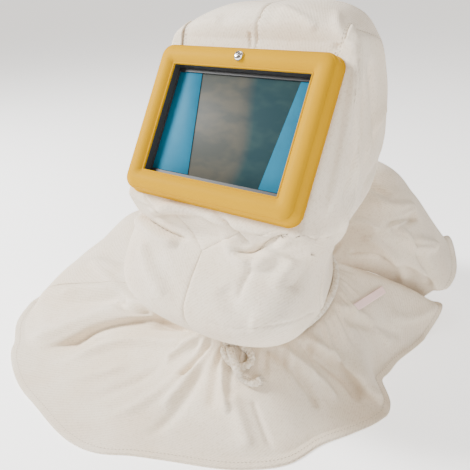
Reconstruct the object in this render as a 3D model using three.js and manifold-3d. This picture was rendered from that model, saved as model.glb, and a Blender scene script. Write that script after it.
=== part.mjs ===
// A canvas sandblasting hood with a yellow window frame and a shoulder cape, standing on its cape.
// Millimetres. +Z is up, the window faces -Y and +X is the wearer's left.
import * as THREE from 'three';
import { mergeVertices } from 'three/addons/utils/BufferGeometryUtils.js';
import Module from 'manifold-3d';

const wasm = await Module();
wasm.setup();

// Fits and cloth
const clearance = 0.3;
const clothThickness = 2;

// Window, measured on its opening; the lean is from upright
const windowWidth = 155;
const windowHeight = 111;
const windowLean = 32;
const windowCentreHeight = 326.5;
const windowForward = 100;

// Window frame, gasket, pane and films
const frameBorder = 20;
const frameFlange = 3;
const frameFaceRise = 4.2;
const frameDepth = 16;
const frameLip = 1.5;
const frameCornerShare = 0.55;
const gasketThickness = 1.8;
const gasketSideLip = 1.5;
const gasketTopLip = 4;
const gasketDepth = 8.4;
const paneThickness = 3;
const backingWidth = 14;
const backingInset = 3.5;
const backingThickness = 3;
const backingCornerRadius = 16;
const filmThickness = 0.5;
const filmRightTop = 28;
const filmRightBottom = 46;
const filmLeftTop = 12;
const filmLeftBottom = 24;

// Frame screw
const screwHeadRadius = 5;
const screwHeadHeight = 3.8;
const screwShankRadius = 2.5;
const screwInset = 10;
const recessWidth = 1.3;
const recessLength = 5.4;
const recessDepth = 1.8;

// Hood
const hoodHeight = 429;
const hoodHalfWidth = 113;
const hoodBack = 104;
const crownSetBack = 20;
const neckRadius = 76;
const neckSway = 10;
const neckFrontHeight = 90;
const napeHeight = 138;
const casingHeight = 16;
const casingDrop = 0.8;
const casingThickness = 3;
const clampWidth = 9;

// Cape: the reach is from the neck to the farthest plain rim, the rise is its highest fold
const capeReach = 260;
const capeRise = 200;
const capeHem = 9;
const collarRoom = 5;
const collarDrop = 4;

// Drawcord and tag
const cordDiameter = 9;
const knotLength = 24;
const knotThickness = 11;
const tagWidth = 10;
const tagThickness = 1.4;
const tagSink = 0.5;

// Mesh steps
const cornerSteps = 4;
const holeSteps = 8;
const gussetSteps = 6;
const chinSteps = 9;
const frontSteps = 7;
const crownSteps = 7;
const sideSteps = 6;
const capeStepsPerRow = 2;

const degree = Math.PI / 180;
const mix = THREE.MathUtils.lerp;
const smooth = (share) => THREE.MathUtils.smoothstep(share, 0, 1);

// Materials
const canvas = new THREE.MeshStandardMaterial({ color: 0xe6ddd0, roughness: 0.95, side: THREE.DoubleSide });
const yellowPlastic = new THREE.MeshStandardMaterial({ color: 0xf0c63a, roughness: 0.35 });
const blackRubber = new THREE.MeshStandardMaterial({ color: 0x1c1d20, roughness: 0.6 });
const glass = new THREE.MeshStandardMaterial({ color: 0x6f7a7a, roughness: 0.1, transparent: true, opacity: 0.6 });
const blueFilm = new THREE.MeshStandardMaterial({ color: 0x5fb2d2, roughness: 0.4 });
const chrome = new THREE.MeshStandardMaterial({ color: 0xd0d0d2, roughness: 0.2, metalness: 1 });
const cottonCord = new THREE.MeshStandardMaterial({ color: 0xe9dfcb, roughness: 0.95 });
const tagTape = new THREE.MeshStandardMaterial({ color: 0xf0dcd6, roughness: 0.8 });

// Window plane: u runs to +X, v up the window and n out of it
const leanAngle = windowLean * degree;
const windowCentre = new THREE.Vector3(0, -windowForward, windowCentreHeight);
const windowUp = new THREE.Vector3(0, Math.sin(leanAngle), Math.cos(leanAngle));
const windowOut = new THREE.Vector3(0, -Math.cos(leanAngle), Math.sin(leanAngle));
const canvasSeat = -(frameDepth + clearance);
const flangeHalfWidth = windowWidth / 2 + frameBorder + frameFlange;
const flangeHalfHeight = windowHeight / 2 + frameBorder + frameFlange;
const holeHalfWidth = windowWidth / 2 + clampWidth;
const holeHalfHeight = windowHeight / 2 + clampWidth;

function windowPoint(u, v, n) {
  return windowCentre.clone()
    .add(new THREE.Vector3(u, 0, 0))
    .addScaledVector(windowUp, v)
    .addScaledVector(windowOut, n);
}

// Catmull-Rom value of a table's column at a row number with a fraction
function columnAt(rows, key, at) {
  const last = rows.length - 1;
  const index = Math.min(Math.max(Math.floor(at), 0), last - 1);
  const t = at - index;
  const value = (i) => rows[Math.min(Math.max(i, 0), last)][key];
  const [a, b, c, d] = [value(index - 1), value(index), value(index + 1), value(index + 2)];
  return b + 0.5 * t * (c - a + t * (2 * a - 5 * b + 4 * c - d + t * (3 * (b - c) + d - a)));
}

// Hood sections from the crown down to the neck. Along and out place the front point: in the crown zone
// from the frame's top towards the pole, in the window zone up the window in shares of the flange's half
// height, and in the chin zone from the frame's bottom to the neck. Back drop and reach place the back point.
const hoodTable = [
  ['zone', 'along', 'out', 'backDrop', 'backReach', 'width', 'wideAt', 'frontPower', 'backPower'],
  ['crown', 1.00, 1.00, 0.000, 0.19, 0.00, 0.50, 2.0, 2.0],
  ['crown', 0.96, 0.48, 0.005, 0.52, 0.45, 0.48, 2.2, 2.1],
  ['crown', 0.78, 0.18, 0.040, 0.78, 0.69, 0.33, 2.5, 2.4],
  ['crown', 0.46, 0.01, 0.105, 0.94, 0.85, 0.15, 3.2, 2.6],
  ['window', 1.02, 0.0, 0.210, 1.04, 0.94, 0.07, 5.0, 2.8],
  ['window', 0.00, 0.0, 0.400, 1.09, 0.99, 0.20, 5.0, 2.8],
  ['window', -1.02, 0.0, 0.590, 1.00, 1.00, 0.32, 4.5, 2.4],
  ['chin', 0.13, 0.17, 0.650, 0.90, 0.98, 0.27, 4.4, 1.9],
  ['chin', 0.29, -0.02, 0.710, 0.78, 0.965, 0.25, 4.6, 1.6],
  ['chin', 0.45, -0.40, 0.770, 0.70, 0.965, 0.29, 4.4, 1.5],
  ['chin', 0.59, -0.64, 0.820, 0.68, 0.965, 0.33, 3.9, 1.5],
  ['chin', 0.73, -0.56, 0.873, 0.69, 0.93, 0.36, 3.3, 1.6],
  ['chin', 0.86, -0.18, 0.921, 0.70, 0.84, 0.39, 2.7, 1.8],
  ['chin', 0.96, 0.50, 0.965, 0.72, 0.72, 0.45, 2.3, 1.9],
  ['chin', 1.00, 1.00, 1.000, 0.73, 0.685, 0.50, 2.0, 2.0],
];
const frameTopLevel = 4;
const frameBottomLevel = 6;
const neckLevel = 14;

function tableRows(table) {
  const [keys, ...rows] = table;
  return rows.map((row) => Object.fromEntries(keys.map((key, i) => [key, row[i]])));
}

const pole = { y: crownSetBack, z: hoodHeight };
const frameTop = windowPoint(0, flangeHalfHeight, canvasSeat);
const frameBottom = windowPoint(0, -flangeHalfHeight, canvasSeat);
const neckFront = { y: -neckRadius, z: neckFrontHeight };
const zoneEnds = { crown: [frameTop, pole], chin: [frameBottom, neckFront] };

const hoodRows = tableRows(hoodTable).map((row) => {
  let front = windowPoint(0, row.along * flangeHalfHeight, canvasSeat);
  if (row.zone !== 'window') {
    const [start, end] = zoneEnds[row.zone];
    front = { y: mix(start.y, end.y, row.out), z: mix(start.z, end.z, row.along) };
  }
  return {
    frontY: front.y,
    frontZ: front.z,
    backY: row.backReach * hoodBack,
    backZ: hoodHeight - row.backDrop * (hoodHeight - napeHeight),
    halfWidth: row.width * hoodHalfWidth,
    wideAt: row.wideAt,
    frontPower: row.frontPower,
    backPower: row.backPower,
  };
});
hoodRows[0].backY = crownSetBack;
hoodRows[neckLevel].backY = neckRadius;
hoodRows[neckLevel].halfWidth = neckRadius;

// The hood leans over a little to its wearer's right on the way down to the neck
const swayAt = (level) => neckSway * smooth((level - 5.8) / 3);

// A point of the smooth hood: the angle runs from 0 at the front over 90 at +X to 180 at the back
function hoodBase(angle, level) {
  const at = (key) => columnAt(hoodRows, key, level);
  const [frontY, backY] = [at('frontY'), at('backY')];
  const wideY = mix(frontY, backY, at('wideAt'));
  const s = Math.sin(angle * degree);
  const c = Math.cos(angle * degree);
  const power = c > 0 ? at('frontPower') : at('backPower');
  const k = (Math.abs(s) ** power + Math.abs(c) ** power) ** (-1 / power);
  const y = c > 0 ? wideY - (wideY - frontY) * k * c : wideY - (backY - wideY) * k * c;
  const share = THREE.MathUtils.clamp((y - frontY) / Math.max(backY - frontY, 1), 0, 1);
  const z = mix(at('frontZ'), at('backZ'), smooth(share));
  const x = at('halfWidth') * k * s - swayAt(level);
  return seatOnFrame(new THREE.Vector3(x, y, z));
}

// The canvas lies flat behind the frame's flange and leaves that plane a little outside it
const seatSideFade = 8;
const seatTopFade = 22;
const seatTopRoom = 10;
const seatReach = 45;

function seatOnFrame(point) {
  const from = point.clone().sub(windowCentre);
  const n = from.dot(windowOut);
  if (n < canvasSeat - seatReach) return point;
  const sideways = Math.max(Math.abs(point.x) - flangeHalfWidth, 0) / seatSideFade;
  const height = Math.abs(from.dot(windowUp)) - flangeHalfHeight - seatTopRoom;
  const upwards = Math.max(height, 0) / seatTopFade;
  const hold = 1 - smooth(Math.hypot(sideways, upwards));
  return point.addScaledVector(windowOut, (canvasSeat - n) * hold);
}

// Folds of the canvas, each between two places given by angle and level; the spread and the rise are shares
// of the hood's half width, and a crease has a negative rise
const hoodFolds = [
  ['fromAngle', 'fromLevel', 'toAngle', 'toLevel', 'spread', 'rise'],
  [-47, 7.0, -36, 7.6, 0.12, -0.05],
  [-36, 7.6, -22, 7.9, 0.11, -0.05],
  [-30, 6.9, 8, 6.75, 0.09, 0.035],
  [14, 7.5, 27, 7.9, 0.10, 0.04],
  [32, 7.8, 41, 7.0, 0.10, 0.045],
  [41, 7.0, 56, 6.4, 0.09, 0.03],
  [30, 7.9, 33, 8.9, 0.08, -0.03],
  [64, 4.4, 66, 6.6, 0.14, 0.03],
  [98, 4.4, 104, 6.4, 0.20, -0.04],
  [100, 8.0, 118, 9.6, 0.18, -0.05],
  [-98, 4.8, -104, 7.0, 0.20, -0.03],
  [-105, 8.2, -120, 9.6, 0.18, -0.05],
  [160, 3.2, 176, 4.6, 0.18, -0.04],
  [-150, 6.4, -172, 8.4, 0.18, -0.045],
  [150, 9.2, 172, 10.6, 0.16, 0.04],
];

const hoodFoldLines = tableRows(hoodFolds).map((row) => ({
  line: new THREE.Line3(hoodBase(row.fromAngle, row.fromLevel), hoodBase(row.toAngle, row.toLevel)),
  spread: row.spread * hoodHalfWidth,
  rise: row.rise * hoodHalfWidth,
}));

function hoodPoint(angle, level) {
  const point = hoodBase(angle, level);
  const nearest = new THREE.Vector3();
  let rise = 0;
  for (const fold of hoodFoldLines) {
    fold.line.closestPointToPoint(point, true, nearest);
    rise += fold.rise * Math.exp(-((nearest.distanceTo(point) / fold.spread) ** 2));
  }
  if (Math.abs(rise) < 0.01) return point;
  const normal = surfaceNormal((a, b) => hoodBase(a * 20, b), angle / 20, Math.max(level, 0.02), 0.01);
  return seatOnFrame(point.addScaledVector(normal, -rise * hoodFoldFade(level)));
}

const hoodFoldFade = (level) => smooth(Math.min(level, neckLevel - level) / 1.5);

const windowHeightAt = (level) => hoodBase(0, level).sub(windowCentre).dot(windowUp);

// Level of the hood's front line at a height up the window, found by halving
function levelAtWindow(v) {
  let low = frameTopLevel - 0.5;
  let high = frameBottomLevel + 0.5;
  for (let i = 0; i < 40; i += 1) {
    const middle = (low + high) / 2;
    if (windowHeightAt(middle) > v) low = middle;
    else high = middle;
  }
  return (low + high) / 2;
}

// Angle at which the front half of a section reaches a width
function angleAtWidth(x, level) {
  const share = Math.min((x + swayAt(level)) / columnAt(hoodRows, 'halfWidth', level), 1);
  const power = columnAt(hoodRows, 'frontPower', level);
  return Math.atan2(share, (1 - share ** power) ** (1 / power)) / degree;
}

// Normal by small steps along the surface
function surfaceNormal(surface, a, b, step) {
  const across = surface(a + step, b).sub(surface(a - step, b));
  const along = surface(a, b + step).sub(surface(a, b - step));
  return across.cross(along).normalize();
}

// Reach of the normal in levels, the wide one for cloth whose fold is tighter than its thickness
const sharpReach = 0.01;
const foldReach = 0.15;

function hoodNormal(angle, level, reach = sharpReach) {
  const safe = Math.max(level, 0.02);
  const normal = surfaceNormal((a, b) => hoodPoint(a * 20, b), angle / 20, safe, reach);
  if (level < 0.02) return new THREE.Vector3(0, 0, 1);
  return normal.negate();
}

// Seams of the hood, each a path of angle and level
const topLevel = levelAtWindow(holeHalfHeight);
const bottomLevel = levelAtWindow(-holeHalfHeight);
const gussetLevel = levelAtWindow(-(holeHalfHeight + clampWidth));
const gussetTip = 8;
const seamCorner = [72, 2.7];
const seamCornerBack = [75.5, 2.78];

const seamPaths = {
  hole: [[null, topLevel], [null, bottomLevel], [null, gussetLevel]],
  gusset: [[null, gussetLevel], [0, gussetTip]],
  chin: [[0, gussetTip], [0, neckLevel]],
};

function pathPoint([angle, level]) {
  return angle === null ? [angleAtWidth(holeHalfWidth, level), level] : [angle, level];
}

// Cuts a path of angle and level into steps of equal length on the surface
function evenSteps(path, steps) {
  const fine = [];
  for (let i = 0; i < path.length - 1; i += 1) {
    for (let k = 0; k < 16; k += 1) {
      const t = k / 16;
      const level = mix(path[i][1], path[i + 1][1], t);
      const held = path[i][0] === null && path[i + 1][0] === null;
      const [from, to] = [pathPoint(path[i]), pathPoint(path[i + 1])];
      fine.push(held ? pathPoint([null, level]) : [mix(from[0], to[0], t), level]);
    }
  }
  fine.push(pathPoint(path[path.length - 1]));
  const points = fine.map(([angle, level]) => hoodBase(angle, level));
  const lengths = [0];
  for (let i = 1; i < points.length; i += 1) {
    lengths.push(lengths[i - 1] + points[i].distanceTo(points[i - 1]));
  }
  const out = [];
  for (let i = 0; i <= steps; i += 1) {
    const want = (i / steps) * lengths[lengths.length - 1];
    let k = 1;
    while (k < lengths.length - 1 && lengths[k] < want) k += 1;
    const t = (want - lengths[k - 1]) / Math.max(lengths[k] - lengths[k - 1], 1e-9);
    out.push([mix(fine[k - 1][0], fine[k][0], t), mix(fine[k - 1][1], fine[k][1], t)]);
  }
  return out;
}

const holeEdge = evenSteps(seamPaths.hole, holeSteps);
const gussetEdge = evenSteps(seamPaths.gusset, gussetSteps);
const chinEdge = evenSteps(seamPaths.chin, chinSteps);
const innerEdge = [...holeEdge, ...gussetEdge.slice(1), ...chinEdge.slice(1)];

// The other seams are cut at the same three stretches as the inner edge: hole, gusset and chin
function stretchedSteps(paths) {
  const [hole, gusset, chin] = [holeSteps, gussetSteps, chinSteps].map((steps, i) => evenSteps(paths[i], steps));
  return [...hole, ...gusset.slice(1), ...chin.slice(1)];
}

const ridgeEdge = stretchedSteps([
  [seamCorner, [86, 3.4], [90, frameTopLevel], [90, 6.4]],
  [[90, 6.4], [90, 8.5]],
  [[90, 8.5], [90, neckLevel]],
]);
const crownEdge = stretchedSteps([
  [seamCornerBack, [108, 3.6], [122, 5], [127, 6.3]],
  [[127, 6.3], [134, 8.3]],
  [[134, 8.3], [140, neckLevel]],
]);

// Centre line over the crown, as signed levels: negative at the front, positive behind the pole
const crownFrontSteps = frontSteps + 1;
const poleShare = -0.8;
const tipShare = 0.3;
const centreLine = [];
for (let i = 0; i <= crownFrontSteps; i += 1) {
  centreLine.push(mix(-topLevel, poleShare, i / crownFrontSteps));
}
const backLine = [
  ...evenSteps([[180, 0], [180, 5.8]], holeSteps - 1),
  ...evenSteps([[180, 5.8], [180, 8.1]], gussetSteps).slice(1),
  ...evenSteps([[180, 8.1], [180, neckLevel]], chinSteps).slice(1),
];
centreLine.push(...backLine.map(([, level]) => level));

// Between two places on the hood: straight over the crown, by angle and level lower down
function between([angleA, levelA], [angleB, levelB], t) {
  const polarLevel = mix(levelA, levelB, t);
  const flat = (angle, level) => [level * Math.sin(angle * degree), level * Math.cos(angle * degree)];
  const [xa, ya] = flat(angleA, levelA);
  const [xb, yb] = flat(angleB, levelB);
  const x = mix(xa, xb, t);
  const y = mix(ya, yb, t);
  const low = smooth((polarLevel - 3.5) / 3);
  const angle = mix(Math.atan2(x, y) / degree, mix(angleA, angleB, t), low);
  return [angle, mix(Math.hypot(x, y), polarLevel, low)];
}

// Closed geometry from vertex and triangle lists, turned so that its volume is positive
function closedGeometry(points, triangles) {
  let volume = 0;
  for (const [a, b, c] of triangles) {
    volume += points[a].dot(new THREE.Vector3().crossVectors(points[b], points[c]));
  }
  const faces = volume < 0 ? triangles.map(([a, b, c]) => [a, c, b]) : triangles;
  const geometry = new THREE.BufferGeometry();
  geometry.setAttribute('position', new THREE.Float32BufferAttribute(points.flatMap((p) => p.toArray()), 3));
  geometry.setIndex(faces.flat());
  const merged = mergeVertices(geometry, 1e-4);
  const position = merged.getAttribute('position');
  const index = [];
  for (let i = 0; i < merged.index.count; i += 3) {
    const [a, b, c] = [merged.index.getX(i), merged.index.getX(i + 1), merged.index.getX(i + 2)];
    if (a !== b && b !== c && c !== a) index.push(a, b, c);
  }
  merged.setAttribute('position', position);
  merged.setIndex(index);
  merged.computeVertexNormals();
  return merged;
}

// A cloth wall on a grid of outer points and a grid of inner points; wrapped grids close on themselves
function wallGeometry(outer, inner, wrapped = false) {
  const rows = outer.length;
  const columns = outer[0].length;
  const points = [...outer.flat(), ...inner.flat()];
  const id = (side, i, j) => side * rows * columns + (i % rows) * columns + j;
  const triangles = [];
  const quad = (a, b, c, d) => triangles.push([a, b, c], [a, c, d]);
  const rowSteps = wrapped ? rows : rows - 1;
  for (let i = 0; i < rowSteps; i += 1) {
    for (let j = 0; j < columns - 1; j += 1) {
      quad(id(0, i, j), id(0, i + 1, j), id(0, i + 1, j + 1), id(0, i, j + 1));
      quad(id(1, i, j), id(1, i, j + 1), id(1, i + 1, j + 1), id(1, i + 1, j));
    }
    quad(id(0, i, 0), id(1, i, 0), id(1, i + 1, 0), id(0, i + 1, 0));
    const j = columns - 1;
    quad(id(0, i, j), id(0, i + 1, j), id(1, i + 1, j), id(1, i, j));
  }
  if (!wrapped) {
    for (let j = 0; j < columns - 1; j += 1) {
      const i = rows - 1;
      quad(id(0, 0, j), id(0, 0, j + 1), id(1, 0, j + 1), id(1, 0, j));
      quad(id(0, i, j), id(1, i, j), id(1, i, j + 1), id(0, i, j + 1));
    }
  }
  return closedGeometry(points, triangles);
}

// Pulls a grid's border inwards, as a rule by half a seam's clearance, but never past a share of its first step
const trimMost = 0.6;

function trimBorder(grid, amount = clearance / 2) {
  const pull = (point, inner) => {
    const way = inner.clone().sub(point);
    const share = Math.min(amount / way.length(), trimMost);
    return point.clone().addScaledVector(way, share);
  };
  const last = grid.length - 1;
  const end = grid[0].length - 1;
  const out = grid.map((row) => {
    const trimmed = [...row];
    trimmed[0] = pull(row[0], row[1]);
    trimmed[end] = pull(row[end], row[end - 1]);
    return trimmed;
  });
  const ends = [[0, 1], [last, last - 1]];
  for (const [edge, next] of ends) {
    out[edge] = out[edge].map((point, j) => pull(point, out[next][j]));
  }
  return out;
}

// One canvas panel of the hood between two seams, its tip cut short by a share of the first step, on the wearer's left (1) or right (-1)
function hoodPanel(edgeA, edgeB, steps, side, cutTip = 0, reach = sharpReach) {
  const outer = [];
  const inner = [];
  for (let i = 0; i < edgeA.length; i += 1) {
    const outerRow = [];
    const innerRow = [];
    for (let j = 0; j <= steps; j += 1) {
      const [angle, level] = between(edgeA[i], edgeB[i], j / steps);
      const point = hoodPoint(angle * side, level);
      const normal = hoodNormal(angle * side, level, reach);
      outerRow.push(point);
      innerRow.push(point.clone().addScaledVector(normal, -clothThickness));
    }
    outer.push(outerRow);
    inner.push(innerRow);
  }
  for (const grid of [outer, inner]) grid[0] = grid[0].map((point, j) => point.clone().lerp(grid[1][j], cutTip));
  return wallGeometry(trimBorder(outer), trimBorder(inner));
}

const centreEdge = centreLine.map((level) => [level < 0 ? 0 : 180, Math.abs(level)]);
const crownOuterEdge = [];
for (let j = 0; j <= frontSteps; j += 1) {
  crownOuterEdge.push(between(holeEdge[0], seamCorner, j / frontSteps));
}
crownOuterEdge.push(...crownEdge);

const crownGeometry = (side) => hoodPanel(centreEdge, crownOuterEdge, crownSteps, side);
const frontGeometry = (side) => hoodPanel(innerEdge, ridgeEdge, frontSteps, side, 0, foldReach);
const sideGeometry = (side) => hoodPanel(ridgeEdge, crownEdge, sideSteps, side, tipShare);

// The gusset under the frame, from one lower corner of the hole to the other
function gussetGeometry() {
  const rowsDown = 4;
  const outer = [];
  const inner = [];
  for (let i = -gussetSteps; i <= gussetSteps; i += 1) {
    const side = i < 0 ? -1 : 1;
    const low = gussetEdge[gussetSteps - Math.abs(i)];
    const topAngle = (Math.abs(i) / gussetSteps) * angleAtWidth(holeHalfWidth, bottomLevel);
    const outerRow = [];
    const innerRow = [];
    for (let j = 0; j <= rowsDown; j += 1) {
      const angle = mix(topAngle, low[0], j / rowsDown);
      const level = mix(bottomLevel, low[1], j / rowsDown);
      const point = hoodPoint(angle * side, level);
      outerRow.push(point);
      const across = hoodNormal(angle * side, level, foldReach).x;
      const back = new THREE.Vector3(-across, Math.sqrt(1 - across ** 2), 0);
      innerRow.push(point.clone().addScaledVector(back, clothThickness));
    }
    outer.push(outerRow);
    inner.push(innerRow);
  }
  return wallGeometry(trimBorder(outer, 4 * clearance), trimBorder(inner, 4 * clearance));
}

// Height of the neck's edge round the hood; the angle is 0 at the front
const neckHeight = (angle) => mix(neckFrontHeight, napeHeight, smooth((1 - Math.cos(angle * degree)) / 2));

function aroundNeck(angle, radius, z) {
  return new THREE.Vector3(
    radius * Math.sin(angle * degree) - neckSway, -radius * Math.cos(angle * degree), z);
}

function casingGeometry() {
  const steps = 40;
  const outer = [];
  const inner = [];
  for (let i = 0; i < steps; i += 1) {
    const angle = (360 * i) / steps;
    const top = neckHeight(angle) - casingDrop;
    const heights = [top, top - casingHeight / 2, top - casingHeight];
    outer.push(heights.map((z) => aroundNeck(angle, neckRadius, z)));
    inner.push(heights.map((z) => aroundNeck(angle, neckRadius - casingThickness, z)));
  }
  return wallGeometry(outer, inner, true);
}

// Cape sections round the neck, from the left side seam over the front to the lobe and round the back.
// Reaches are shares of the cape's reach from the neck, heights are shares of its rise.
const capeTable = [
  ['angle', 'nearReach', 'nearHeight', 'farReach', 'farHeight', 'rimReach', 'rimHeight'],
  [-76, 0.28, 0.38, 0.98, 0.21, 1.20, 0],
  [-68, 0.28, 0.34, 0.88, 0.12, 1.15, 0],
  [-61, 0.28, 0.31, 0.70, 0.13, 1.07, 0],
  [-56, 0.28, 0.20, 0.64, 0.05, 1.04, 0],
  [-45, 0.26, 0.16, 0.56, 0.05, 0.935, 0],
  [-35, 0.24, 0.15, 0.50, 0.045, 0.835, 0],
  [-21, 0.22, 0.16, 0.45, 0.045, 0.75, 0],
  [-14, 0.20, 0.17, 0.42, 0.05, 0.69, 0],
  [-6, 0.18, 0.18, 0.35, 0.06, 0.59, 0],
  [6, 0.18, 0.17, 0.32, 0.06, 0.515, 0],
  [23, 0.175, 0.18, 0.30, 0.065, 0.47, 0],
  [37, 0.165, 0.19, 0.28, 0.07, 0.435, 0],
  [50, 0.15, 0.19, 0.24, 0.075, 0.365, 0],
  [63, 0.14, 0.19, 0.23, 0.08, 0.36, 0],
  [77, 0.14, 0.18, 0.235, 0.075, 0.38, 0],
  [84, 0.135, 0.27, 0.225, 0.20, 0.375, 0.03],
  [97, 0.13, 0.31, 0.20, 0.18, 0.285, 0.03],
  [108, 0.13, 0.34, 0.20, 0.19, 0.31, 0],
  [118, 0.15, 0.39, 0.25, 0.21, 0.37, 0],
  [130, 0.20, 0.43, 0.37, 0.25, 0.53, 0.01],
  [137, 0.28, 0.45, 0.48, 0.30, 0.665, 0.16],
  [146, 0.28, 0.43, 0.50, 0.24, 0.62, 0.08],
];
const capeBackTable = [
  capeTable[0],
  [146, 0.28, 0.447, 0.50, 0.257, 0.62, 0.097],
  [140, 0.28, 0.55, 0.48, 0.43, 0.64, 0.25],
  [136, 0.27, 0.62, 0.47, 0.50, 0.665, 0.30],
  [138, 0.28, 0.72, 0.50, 0.61, 0.73, 0.37],
  [142, 0.28, 0.80, 0.52, 0.72, 0.775, 0.45],
  [148, 0.28, 0.88, 0.55, 0.84, 0.81, 0.54],
  [154, 0.29, 0.94, 0.58, 0.93, 0.84, 0.42],
  [162, 0.30, 1.00, 0.60, 0.98, 0.87, 0.18],
  [174, 0.31, 1.03, 0.60, 0.98, 0.91, 0.01],
  [186, 0.31, 1.00, 0.60, 0.90, 0.92, 0],
  [198, 0.30, 0.90, 0.60, 0.76, 0.88, 0],
  [212, 0.28, 0.76, 0.60, 0.60, 0.86, 0],
  [230, 0.28, 0.62, 0.66, 0.52, 0.93, 0],
  [245, 0.28, 0.58, 0.80, 0.55, 1.05, 0],
  [256, 0.28, 0.56, 0.92, 0.54, 1.16, 0],
  [267, 0.28, 0.50, 0.90, 0.43, 1.14, 0],
  [277, 0.28, 0.43, 0.96, 0.31, 1.18, 0],
  [283.7, 0.28, 0.38, 0.98, 0.21, 1.20, 0],
];

// Shares along a section, from the neck through the near and far points to the hem
const capeShares = [0, 1, 1.5, 2, 2.35, 2.7, 3, 3.35, 3.7, 4];

function capeSection(rows, at) {
  const value = (key) => columnAt(rows, key, at);
  const angle = value('angle');
  const neckAngle = value('neckAngle');
  const out = new THREE.Vector3(Math.sin(angle * degree), -Math.cos(angle * degree), 0);
  const start = neckHeight(neckAngle) - casingDrop - casingHeight - clearance;
  const stations = [
    { angle: neckAngle, reach: 0, height: start },
    { angle: neckAngle, reach: cordDiameter + collarRoom, height: start - collarDrop },
    { angle, reach: value('nearReach') * capeReach, height: value('nearHeight') * capeRise },
    { angle, reach: value('farReach') * capeReach, height: value('farHeight') * capeRise },
    { angle, reach: value('rimReach') * capeReach - capeHem, height: value('rimHeight') * capeRise },
  ];
  const points = capeShares.map((share) => {
    const spot = (key) => columnAt(stations, key, share);
    return aroundNeck(spot('angle'), neckRadius + spot('reach'), Math.max(spot('height'), clothThickness));
  });
  const rim = points[points.length - 1];
  points.push(rim.clone().addScaledVector(out, capeHem));
  return points;
}

// The back's first sections fold over the front's, so at the neck its sections are spread by themselves
const backNeckSpread = 1.3;

function capeRows(table) {
  const rows = tableRows(table);
  const [first, end] = [rows[0].angle, rows[rows.length - 1].angle];
  if (first < 0) return rows.map((row) => ({ ...row, neckAngle: row.angle }));
  return rows.map((row, i) => (
    { ...row, neckAngle: mix(first, end, (i / (rows.length - 1)) ** backNeckSpread) }));
}

function capeGrid(table) {
  const rows = capeRows(table);
  const grid = [];
  for (let i = 0; i <= (rows.length - 1) * capeStepsPerRow; i += 1) {
    grid.push(capeSection(rows, i / capeStepsPerRow));
  }
  return grid;
}

// Normal of a grid at a vertex, from its neighbours
function gridNormal(grid, i, j) {
  const pick = (a, b) => grid[THREE.MathUtils.clamp(a, 0, grid.length - 1)][
    THREE.MathUtils.clamp(b, 0, grid[0].length - 1)];
  const across = pick(i + 1, j).clone().sub(pick(i - 1, j));
  const along = pick(i, j + 1).clone().sub(pick(i, j - 1));
  return along.cross(across).normalize();
}

function capeGeometry(table) {
  const top = capeGrid(table);
  const under = top.map((row, i) => row.map((point, j) => {
    if (point.z <= clothThickness) return point.clone().setZ(0);
    const low = point.clone().addScaledVector(gridNormal(top, i, j), -clothThickness);
    return low.setZ(Math.max(low.z, 0));
  }));
  return wallGeometry(trimBorder(top), trimBorder(under));
}

// Rounded rectangle loop in the window's plane
function windowLoop(halfWidth, halfHeight, radius, n) {
  const loop = [];
  const corners = [[1, 1, 0], [-1, 1, 90], [-1, -1, 180], [1, -1, 270]];
  for (const [sx, sy, start] of corners) {
    for (let k = 0; k <= cornerSteps; k += 1) {
      const turn = (start + (90 * k) / cornerSteps) * degree;
      loop.push(new THREE.Vector3(
        sx * (halfWidth - radius) + radius * Math.cos(turn),
        sy * (halfHeight - radius) + radius * Math.sin(turn),
        n));
    }
  }
  return loop;
}

// Closed ring through a list of loops
function loopRing(loops) {
  const count = loops[0].length;
  const triangles = [];
  for (let i = 0; i < loops.length; i += 1) {
    const next = (i + 1) % loops.length;
    for (let j = 0; j < count; j += 1) {
      const k = (j + 1) % count;
      triangles.push([i * count + j, i * count + k, next * count + k]);
      triangles.push([i * count + j, next * count + k, next * count + j]);
    }
  }
  return closedGeometry(loops.flat(), triangles);
}

// Loop at an offset from the opening's edge, its corners rounder further out
function offsetLoop(sideOffset, topOffset, n) {
  const radius = 0.8 + Math.max(sideOffset, 0) * frameCornerShare;
  return windowLoop(windowWidth / 2 + sideOffset, windowHeight / 2 + topOffset, radius, n);
}

function toManifold(geometry) {
  const plain = geometry.clone();
  plain.deleteAttribute('normal');
  plain.deleteAttribute('uv');
  const merged = mergeVertices(plain, 1e-4);
  const mesh = new wasm.Mesh({
    numProp: 3,
    vertProperties: new Float32Array(merged.getAttribute('position').array),
    triVerts: new Uint32Array(merged.index.array),
  });
  return new wasm.Manifold(mesh);
}

function fromManifold(solid) {
  const mesh = solid.getMesh();
  const geometry = new THREE.BufferGeometry();
  geometry.setAttribute('position', new THREE.Float32BufferAttribute(mesh.vertProperties, mesh.numProp));
  geometry.setIndex([...mesh.triVerts]);
  geometry.computeVertexNormals();
  return geometry;
}

// The face is a cushion between a bright inner bead and a groove, with a side wall and a flange behind it
const gasketRoom = gasketThickness + 2 * clearance;
const facePlaces = [
  [0, 0], [0.04, 0.22], [0.11, 0.14], [0.26, 0.66], [0.5, 1], [0.74, 0.86], [0.92, 0.3], [0.95, 0.05], [1, -0.1],
];

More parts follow.
